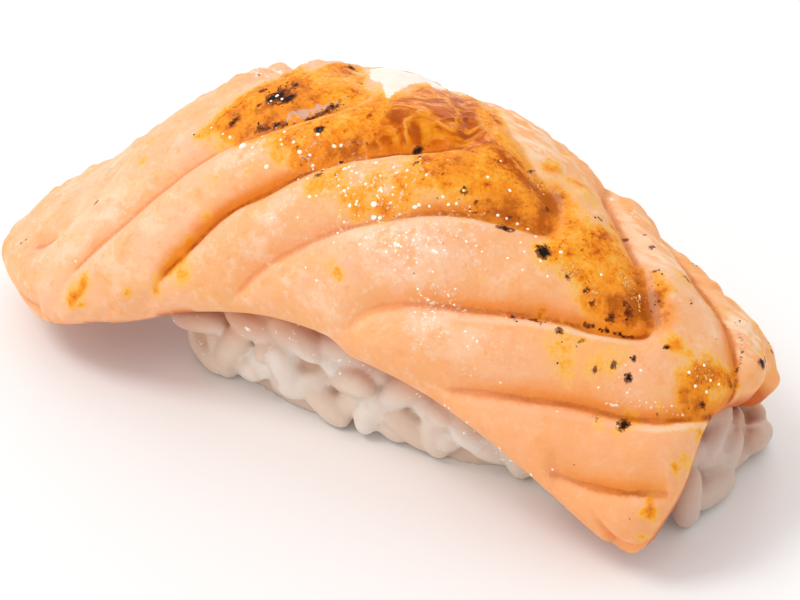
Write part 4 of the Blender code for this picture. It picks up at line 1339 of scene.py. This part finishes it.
# How much painted salmon light, hollow shade and end shade the skin takes, and the tint of the grain that
# each point is on.
tints, warmths, hollows, dims = [], [], [], []
for vertex in rice.data.vertices:
    tints.append(face_tints[grain_surface.find_nearest(vertex.co)[2]])
    warmths.append(1 - slice_tree.find_nearest(vertex.co)[3] / RICE_WARM_REACH)
    nearest, normal, _, _ = core_tree.find_nearest(vertex.co)
    hollow = RICE_HOLLOW_START - (vertex.co - nearest).dot(normal) / RICE_HOLLOW_DEPTH
    hollows.append(hollow * min(max(vertex.co.z / RICE_FOOT_REACH, RICE_FOOT_LEAST), 1.0))
    dims.append((vertex.co.x - RICE_DIM_START) / RICE_DIM_RUN)
store(rice.data, "tint", np.array(tints))
store(rice.data, "near_slice", np.array(warmths))
store(rice.data, "hollow", np.array(hollows))
store(rice.data, "dim", np.array(dims))
rice.data.materials.append(rice_material())
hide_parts("rice_ball")
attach(rice, "root")

# The glaze is a sweet soy sauce brushed on before the searing. It ran together on the
# crown and set under the flame into a thin, glossy, wrinkled amber skin.
GLAZE_OUTLINE = (
    (368, 139), (361, 151), (395, 153), (443, 152), (466, 156), (480, 152), (492, 160), (520, 186),
    (540, 202), (545, 190), (520, 162), (500, 138), (488, 124), (480, 106), (468, 89), (441, 91),
    (420, 87), (402, 92), (386, 100), (379, 114), (370, 128),
)
GLAZE_WRINKLES = (
    ((436, 124), (450, 121), (466, 120)), ((480, 123), (490, 128), (500, 133)),
    ((400, 130), (425, 138)),
)
GLAZE_HEIGHT = 0.00016
GLAZE_DIP = 0.00012
GLAZE_EDGE = 0.0008
GLAZE_WRINKLE_HEIGHT = 0.00016
GLAZE_WRINKLE_WIDTH = 0.00022
GLAZE_UPPER_STEPS = (230, 170)
GLAZE_LOWER_STEPS = (60, 44)
GLAZE_MARGIN = 0.0015
GLAZE_WANDER = 0.0005
GLAZE_WANDER_SIZE = 0.0014
GLAZE_FINE_WANDER = 0.0003
GLAZE_FINE_WANDER_SIZE = 0.0006
GLAZE_UNEVEN = 0.30
GLAZE_LUMP_SIZE = 0.0018
GLAZE_DEPTH = 2.5
GLAZE_FADE = 1.6

glaze_outline = under_pixels(GLAZE_OUTLINE)
glaze_low = glaze_outline.min(0) - GLAZE_MARGIN
glaze_high = glaze_outline.max(0) + GLAZE_MARGIN


def glaze_layout(flat):
    """X and the distance across of the sheet's points, and how far inside they lie."""
    x = glaze_low[0] + (flat[:, 0] + 1) / 2 * (glaze_high[0] - glaze_low[0])
    across = glaze_low[1] + (flat[:, 1] + 1) / 2 * (glaze_high[1] - glaze_low[1])
    rim = GLAZE_WANDER * lumps(x, across, GLAZE_WANDER_SIZE, seed=21)
    rim += GLAZE_FINE_WANDER * lumps(x, across, GLAZE_FINE_WANDER_SIZE, seed=22)
    return x, across, outline_distance(x, across, glaze_outline) + rim


def glaze_points(flat):
    """Lays a two-sided sheet over the crown, standing up inside the glaze's outline."""
    x, across, inside = glaze_layout(flat)
    rise = np.clip(inside / GLAZE_EDGE, -1, 1)
    film = 1 - GLAZE_UNEVEN + GLAZE_UNEVEN * lumps(x, across, GLAZE_LUMP_SIZE, seed=23)
    film = film * GLAZE_HEIGHT
    for wrinkle in GLAZE_WRINKLES:
        off = line_distance(x, across, under_pixels(wrinkle))
        film = film + GLAZE_WRINKLE_HEIGHT * np.exp(-((off / GLAZE_WRINKLE_WIDTH) ** 2))
    height = np.where(rise > 0, film * np.sqrt(1 - (1 - np.clip(rise, 0, 1)) ** 2), 0.0)
    height = np.where(flat[:, 2] > 0, height - GLAZE_DIP * (rise <= 0), -GLAZE_DIP * GLAZE_DEPTH)
    level = through(SLICE_THICKNESS, x) / 2 + fine_relief(x, across)
    return middle(x, across) + outward(x, across) * (level + height)[:, None]


GLAZE_RAMP = (
    (0.00, rgb(176, 74, 0)), (0.22, rgb(206, 98, 0)), (0.34, rgb(240, 138, 8)),
    (0.48, rgb(252, 160, 34)), (0.56, rgb(250, 154, 70)), (0.66, rgb(242, 138, 12)),
    (0.80, rgb(214, 104, 0)), (1.00, rgb(184, 78, 0)),
)
GLAZE_PAINTED_CREST_HIGHLIGHT = rgb(252, 214, 178)


def glaze_material():
    """Set soy glaze: amber to brown in swirls, with painted highlights as pale lines on the crests of its
    folds.
    """
    made, tree, shader, place = started_material("amber_glaze")
    swirl = noise(tree, place, 210.0, 3.0, 0.55, 1.7)
    ripple = noise(tree, place, 620.0, 3.0, 0.55, 1.4)
    colour = ramp(tree, ranged(tree, swirl, 0.30, 0.70), GLAZE_RAMP)
    # Painted highlights: pale lines along the crests of the swirls.
    off = maths(tree, "ABSOLUTE", maths(tree, "SUBTRACT", swirl, 0.52))
    wrinkle = times(tree, ranged(tree, off, 0.009, 0.002), ranged(tree, ripple, 0.50, 0.58), 0.85)
    tree.links.new(mixed(tree, wrinkle, colour, GLAZE_PAINTED_CREST_HIGHLIGHT), shader.inputs["Base Color"])
    soft = ranged(tree, attribute(tree, "inside"), 0.05, 0.9, 0.0, 0.9)
    thin = times(tree, soft, ranged(tree, ripple, 0.34, 0.54, 0.6, 1.0))
    tree.links.new(thin, shader.inputs["Alpha"])
    bumped(tree, shader, swirl, 0.45, 0.0008)
    set_sockets(shader, {
        "Roughness": 0.34, "IOR": 1.42, "Specular IOR Level": 0.12,
        "Coat Weight": 0.06, "Coat Roughness": 0.10,
    })
    return made


glaze = object_from(two_sided_sheet(GLAZE_UPPER_STEPS, GLAZE_LOWER_STEPS), "glaze_film")
_, _, glaze_inside = glaze_layout(coordinates(glaze.data))
place_vertices(glaze.data, glaze_points)
store(glaze.data, "inside", glaze_inside / (GLAZE_EDGE * GLAZE_FADE))
glaze.data.materials.append(glaze_material())
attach(glaze, "root")

# Fat beads are drops that the flame drew out of the flesh onto the ridges between the
# seams. They are small, round and half sunk in the surface, painted near white and made to glow a little, as
# painted highlights of their glints.
BEAD_COUNT = 90
BEAD_RADII = (0.00005, 0.00014)
BEAD_GROWTH = 1.25
LIP_BEADS_KEPT = 0.65
LIP_SHAKE = (-1.6, 1.6)
LIP_SIZES = (0.5, 1.3)
BEAD_SEED = 5
BEAD_SINK = 0.35
BEAD_STRETCH = (1.0, 1.3)
BEAD_FLATNESS = (0.8, 1.0)
BEAD_STRAYS = 0.02
# The larger drops and their groups: pixel, then a radius in millimetres.
LARGE_BEADS = (
    (243, 146, 0.27), (267, 168, 0.18), (299, 150, 0.17), (308, 197, 0.13), (319, 134, 0.13),
    (335, 147, 0.15), (341, 146, 0.13), (294, 141, 0.12), (345, 170, 0.16), (349, 168, 0.12),
    (352, 171, 0.10), (357, 171, 0.11), (377, 163, 0.15), (373, 205, 0.22), (375, 216, 0.17),
    (379, 218, 0.17), (415, 209, 0.15), (419, 207, 0.14), (356, 203, 0.11), (349, 204, 0.13),
    (344, 189, 0.13), (348, 190, 0.10), (346, 194, 0.09), (307, 180, 0.11), (407, 172, 0.12),
    (395, 167, 0.11), (427, 174, 0.12), (365, 184, 0.12), (345, 222, 0.10), (271, 218, 0.08),
    (394, 243, 0.17), (398, 244, 0.14), (401, 246, 0.10), (387, 253, 0.11), (433, 251, 0.15),
    (437, 252, 0.11), (414, 241, 0.11), (407, 232, 0.10), (367, 237, 0.09), (418, 262, 0.10),
    (230, 138, 0.13), (222, 133, 0.10), (212, 128, 0.10), (285, 131, 0.13), (277, 96, 0.14),
    (283, 98, 0.12), (271, 101, 0.10), (313, 165, 0.12), (455, 203, 0.12), (449, 207, 0.12),
    (443, 198, 0.11), (431, 205, 0.10), (464, 190, 0.10), (498, 216, 0.12), (518, 224, 0.12),
    (506, 219, 0.10), (560, 251, 0.13), (601, 275, 0.11), (640, 296, 0.13), (540, 262, 0.11),
    (523, 268, 0.09), (508, 258, 0.09), (476, 246, 0.09), (467, 239, 0.10), (520, 243, 0.09),
    (548, 276, 0.10), (690, 372, 0.13), (703, 366, 0.12), (712, 383, 0.12), (695, 388, 0.11),
    (722, 390, 0.11), (708, 396, 0.12), (640, 372, 0.10), (598, 388, 0.09), (536, 236, 0.11),
    (529, 228, 0.10), (487, 178, 0.12), (509, 190, 0.11), (381, 192, 0.11), (391, 196, 0.10),
    (421, 440, 0.10), (432, 433, 0.09), (446, 451, 0.09), (484, 470, 0.09), (520, 489, 0.10),
    (553, 470, 0.09),
)
FAT_LIPS = (
    (((424, 314), (440, 311)), 0.10, 3.0),
    (((608, 402), (630, 401), (655, 404), (685, 409)), 0.07, 9.0),
    (((452, 205), (470, 212), (490, 216)), 0.07, 6.0),
)


def on_flesh(x, across, rise):
    """Points standing this far out of the slice's own upper surface, and its normals there."""
    level = through(SLICE_THICKNESS, x) / 2 + fine_relief(x, across)
    above = middle(x, across) + outward(x, across) * level[:, None]
    found = [slice_tree.find_nearest(Vector(point))[:2] for point in above]
    normals = np.array([normal for _, normal in found])
    return np.array([place for place, _ in found]) + normals * np.reshape(rise, (-1, 1)), normals


def scattered(chance, count, marks, least, reach):
    """Seeded places, drawn more often near the given marks and now and then elsewhere."""
    (low_x, high_x), (low_across, high_across) = reach
    found = []
    while len(found) < count:
        x = np.array([chance.uniform(low_x, high_x) for _ in range(count)])
        across = np.array([chance.uniform(low_across, high_across) for _ in range(count)])
        wanted = spots(x, across, marks) + least
        found.extend(place for place, share in zip(zip(x, across), wanted) if chance.random() < share)
    return np.array(found[:count])


def laid_on(centre, normal, angle, size):
    """Lays a round shape on the flesh, turned about the normal there and scaled."""
    turn = Vector(normal).to_track_quat("Z", "Y").to_matrix().to_4x4()
    spin = Matrix.Rotation(angle, 4, "Z")
    return Matrix.Translation(centre) @ turn @ spin @ Matrix.Diagonal((*size, 1.0))


BEAD_REACH = ((-0.033, 0.0235), (-0.0165, 0.007))
PAINTED_GLINT_WHITE = rgb(255, 246, 232)
PAINTED_GLINT_CREAM = rgb(254, 226, 190)


def bead_material():
    """Drops painted nearly white and glowing a little, as painted highlights: soft and shiny."""
    made, tree, shader, place = started_material("painted_glint_fat")
    film = ranged(tree, noise(tree, place, 700.0, 2.0), 0.4, 0.6)
    tree.links.new(mixed(tree, film, PAINTED_GLINT_WHITE, PAINTED_GLINT_CREAM), shader.inputs["Base Color"])
    set_sockets(shader, {
        "Roughness": 0.12, "IOR": 1.46, "Coat Weight": 0.5,
        "Subsurface Weight": 0.5, "Subsurface Radius": (1.0, 0.8, 0.6), "Subsurface Scale": 0.0005,
        # Painted glow: the drops glow a little though they are no lamp, so that they show as white glints.
        "Emission Color": PAINTED_GLINT_WHITE, "Emission Strength": 0.3,
    })
    return made


bead_chance = random.Random(BEAD_SEED)
small_spots = scattered(bead_chance, BEAD_COUNT, GLOSS_AND_PAINTED_SHEEN_MARKS, BEAD_STRAYS, BEAD_REACH)
small_radii = [bead_chance.uniform(*BEAD_RADII) for _ in small_spots]
large_spots = under_pixels([mark[:2] for mark in LARGE_BEADS])
large_radii = [mark[2] / MILLIMETRES * BEAD_GROWTH for mark in LARGE_BEADS]
lip_marks = [mark for line, radius, gap in FAT_LIPS for mark in streak(line, radius, 1.0, gap)]
lip_marks = [mark for mark in lip_marks if bead_chance.random() < LIP_BEADS_KEPT]
lip_pixels = [[place + bead_chance.uniform(*LIP_SHAKE) for place in mark[:2]] for mark in lip_marks]
lip_spots = under_pixels(lip_pixels)
lip_radii = [mark[2] / MILLIMETRES * bead_chance.uniform(*LIP_SIZES) for mark in lip_marks]
bead_spots = np.vstack([small_spots, large_spots, lip_spots])
bead_radii = np.array(small_radii + large_radii + lip_radii)
bead_centres, bead_normals = on_flesh(bead_spots[:, 0], bead_spots[:, 1], -BEAD_SINK * bead_radii)
drops = bmesh.new()
for centre, normal, radius in zip(bead_centres, bead_normals, bead_radii):
    angle = bead_chance.uniform(0, math.tau)
    long = radius * bead_chance.uniform(*BEAD_STRETCH)
    size = (long, radius, radius * bead_chance.uniform(*BEAD_FLATNESS))
    place = laid_on(centre, normal, angle, size)
    bmesh.ops.create_icosphere(drops, subdivisions=2, radius=1.0, matrix=place)
beads = object_from(drops, "painted_glint_beads")
beads.data.materials.append(bead_material())
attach(beads, "root")

# Foam bubbles are juice and sugar that boiled up in the seams and set as groups of tiny
# golden domes.
FOAM_MARKS = (
    (594, 291, 1.1), (627, 283, 0.9), (704, 367, 1.0), (571, 269, 0.8), (537, 186, 0.8),
    (640, 303, 0.9),
)
FOAM_EACH = 22
FOAM_RADII = (0.00007, 0.00017)
FOAM_SEED = 12
FOAM_SINK = 0.4
FOAM_CROWDING = 0.6
FOAM_GOLD = rgb(222, 132, 34)
FOAM_PALE = rgb(244, 176, 88)


def foam_material():
    """Boiled sugar and juice, golden and glassy."""
    made, tree, shader, place = started_material("golden_foam")
    film = ranged(tree, noise(tree, place, 900.0, 2.0), 0.4, 0.6)
    tree.links.new(mixed(tree, film, FOAM_GOLD, FOAM_PALE), shader.inputs["Base Color"])
    set_sockets(shader, {"Roughness": 0.15, "Coat Weight": 0.5})
    return made


foam_chance = random.Random(FOAM_SEED)
foam_spots, foam_radii = [], []
foam_middles = under_pixels([mark[:2] for mark in FOAM_MARKS])
for (centre_x, centre_across), (_, _, reach) in zip(foam_middles, FOAM_MARKS):
    for _ in range(FOAM_EACH):
        off = reach / MILLIMETRES * foam_chance.random() ** FOAM_CROWDING
        angle = foam_chance.uniform(0, math.tau)
        foam_spots.append((centre_x + off * math.cos(angle), centre_across + off * math.sin(angle)))
        foam_radii.append(foam_chance.uniform(*FOAM_RADII))
foam_spots, foam_radii = np.array(foam_spots), np.array(foam_radii)
foam_centres, _ = on_flesh(foam_spots[:, 0], foam_spots[:, 1], -FOAM_SINK * foam_radii)
bubbles = bmesh.new()
for centre, radius in zip(foam_centres, foam_radii):
    place = Matrix.Translation(centre) @ Matrix.Scale(radius, 4)
    bmesh.ops.create_icosphere(bubbles, subdivisions=2, radius=1.0, matrix=place)
foam = object_from(bubbles, "foam_bubbles")
foam.data.materials.append(foam_material())
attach(foam, "root")

# Char flakes are specks of skin fat and glaze that the flame burnt black. They cling to
# the ridge, to the lips of the seams and to the near end.
FLAKE_COUNT = 130
FLAKE_RADII = (0.00005, 0.00015)
FLAKE_WIDTH = (0.5, 0.9)
FLAKE_HEIGHT = (0.3, 0.5)
FLAKE_JAGS = 0.25
FLAKE_STRAYS = 0.002
FLAKE_SEED = 9
FLAKE_REACH = ((-0.026, 0.0240), (-0.015, 0.009))


def char_material():
    """Black and dark brown char with a dull, rough face."""
    made, tree, shader, place = started_material("black_char")
    ash = noise(tree, place, 2200.0, 3.0)
    colour = mixed(tree, ranged(tree, ash, 0.4, 0.7), CHAR_BLACK, CHAR_BROWN)
    tree.links.new(colour, shader.inputs["Base Color"])
    tree.links.new(ranged(tree, ash, 0.3, 0.7, 0.45, 0.8), shader.inputs["Roughness"])
    bumped(tree, shader, ash, 0.6, 0.0001)
    set_sockets(shader, {"Specular IOR Level": 0.2})
    return made


flake_chance = random.Random(FLAKE_SEED)
flake_spots = scattered(flake_chance, FLAKE_COUNT, CHAR_MARKS + CHARRED_LIPS, FLAKE_STRAYS, FLAKE_REACH)
flake_centres, flake_normals = on_flesh(flake_spots[:, 0], flake_spots[:, 1], np.zeros(len(flake_spots)))
crumbs = bmesh.new()
for centre, normal in zip(flake_centres, flake_normals):
    long = flake_chance.uniform(*FLAKE_RADII)
    wide = long * flake_chance.uniform(*FLAKE_WIDTH)
    size = (long, wide, long * flake_chance.uniform(*FLAKE_HEIGHT))
    place = laid_on(centre, normal, flake_chance.uniform(0, math.tau), size)
    made = bmesh.ops.create_icosphere(crumbs, subdivisions=1, radius=1.0, matrix=place)
    for vertex in made["verts"]:
        vertex.co += (vertex.co - Vector(centre)) * flake_chance.uniform(-FLAKE_JAGS, FLAKE_JAGS)
flakes = object_from(crumbs, "char_flakes")
flakes.data.materials.append(char_material())
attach(flakes, "root")

# The floor is a plain pale sheet of matt board that runs out past the view on all
# sides, so that the food stands on near white with a soft shadow under it.
FLOOR_HALF_SIDE = 3.0
FLOOR_PALE = rgb(250, 250, 250)
FLOOR_PALER = rgb(252, 252, 252)

floor_bm = bmesh.new()
bmesh.ops.create_grid(floor_bm, x_segments=1, y_segments=1, size=FLOOR_HALF_SIDE)
floor = object_from(floor_bm, "floor")
floor_material, floor_tree, floor_shader, floor_place = started_material("pale_floor")
floor_tint = noise(floor_tree, floor_place, 4.0, 1.0)
floor_colour = mixed(floor_tree, floor_tint, FLOOR_PALE, FLOOR_PALER)
floor_tree.links.new(floor_colour, floor_shader.inputs["Base Color"])
set_sockets(floor_shader, {"Roughness": 0.6})
floor.data.materials.append(floor_material)

# The light is one soft lamp above and to the left, a low lamp behind that catches the
# crest, a small low lamp in front that makes the rice glisten, and an even white room.
# Each lamp is its azimuth, elevation, distance, side and power.
ROOM_LIGHT = 0.80
LAMPS = {
    "key_lamp": (-58.0, 56.0, 0.7, 0.25, 1.45),
    "crest_lamp": (205.0, 20.0, 0.7, 0.35, 0.6),
    "rice_lamp": (-28.0, 14.0, 0.7, 0.06, 0.25),
}
world = bpy.data.worlds.new("white_room")
world.use_nodes = True
world.node_tree.nodes["Background"].inputs["Color"].default_value = (1.0, 1.0, 1.0, 1.0)
world.node_tree.nodes["Background"].inputs["Strength"].default_value = ROOM_LIGHT
bpy.context.scene.world = world


def soft_lamp(name, azimuth, elevation, distance, side, power):
    """A square lamp facing the origin from this azimuth and elevation."""
    data = bpy.data.lights.new(name, "AREA")
    data.size = side
    data.energy = power
    lamp = bpy.data.objects.new(name, data)
    turn, rise = math.radians(azimuth), math.radians(elevation)
    away = Vector((math.sin(turn) * math.cos(rise), -math.cos(turn) * math.cos(rise), math.sin(rise)))
    lamp.location = away * distance
    lamp.rotation_euler = away.to_track_quat("Z", "Y").to_euler()
    bpy.context.scene.collection.objects.link(lamp)


for lamp_name, lamp_values in LAMPS.items():
    soft_lamp(lamp_name, *lamp_values)
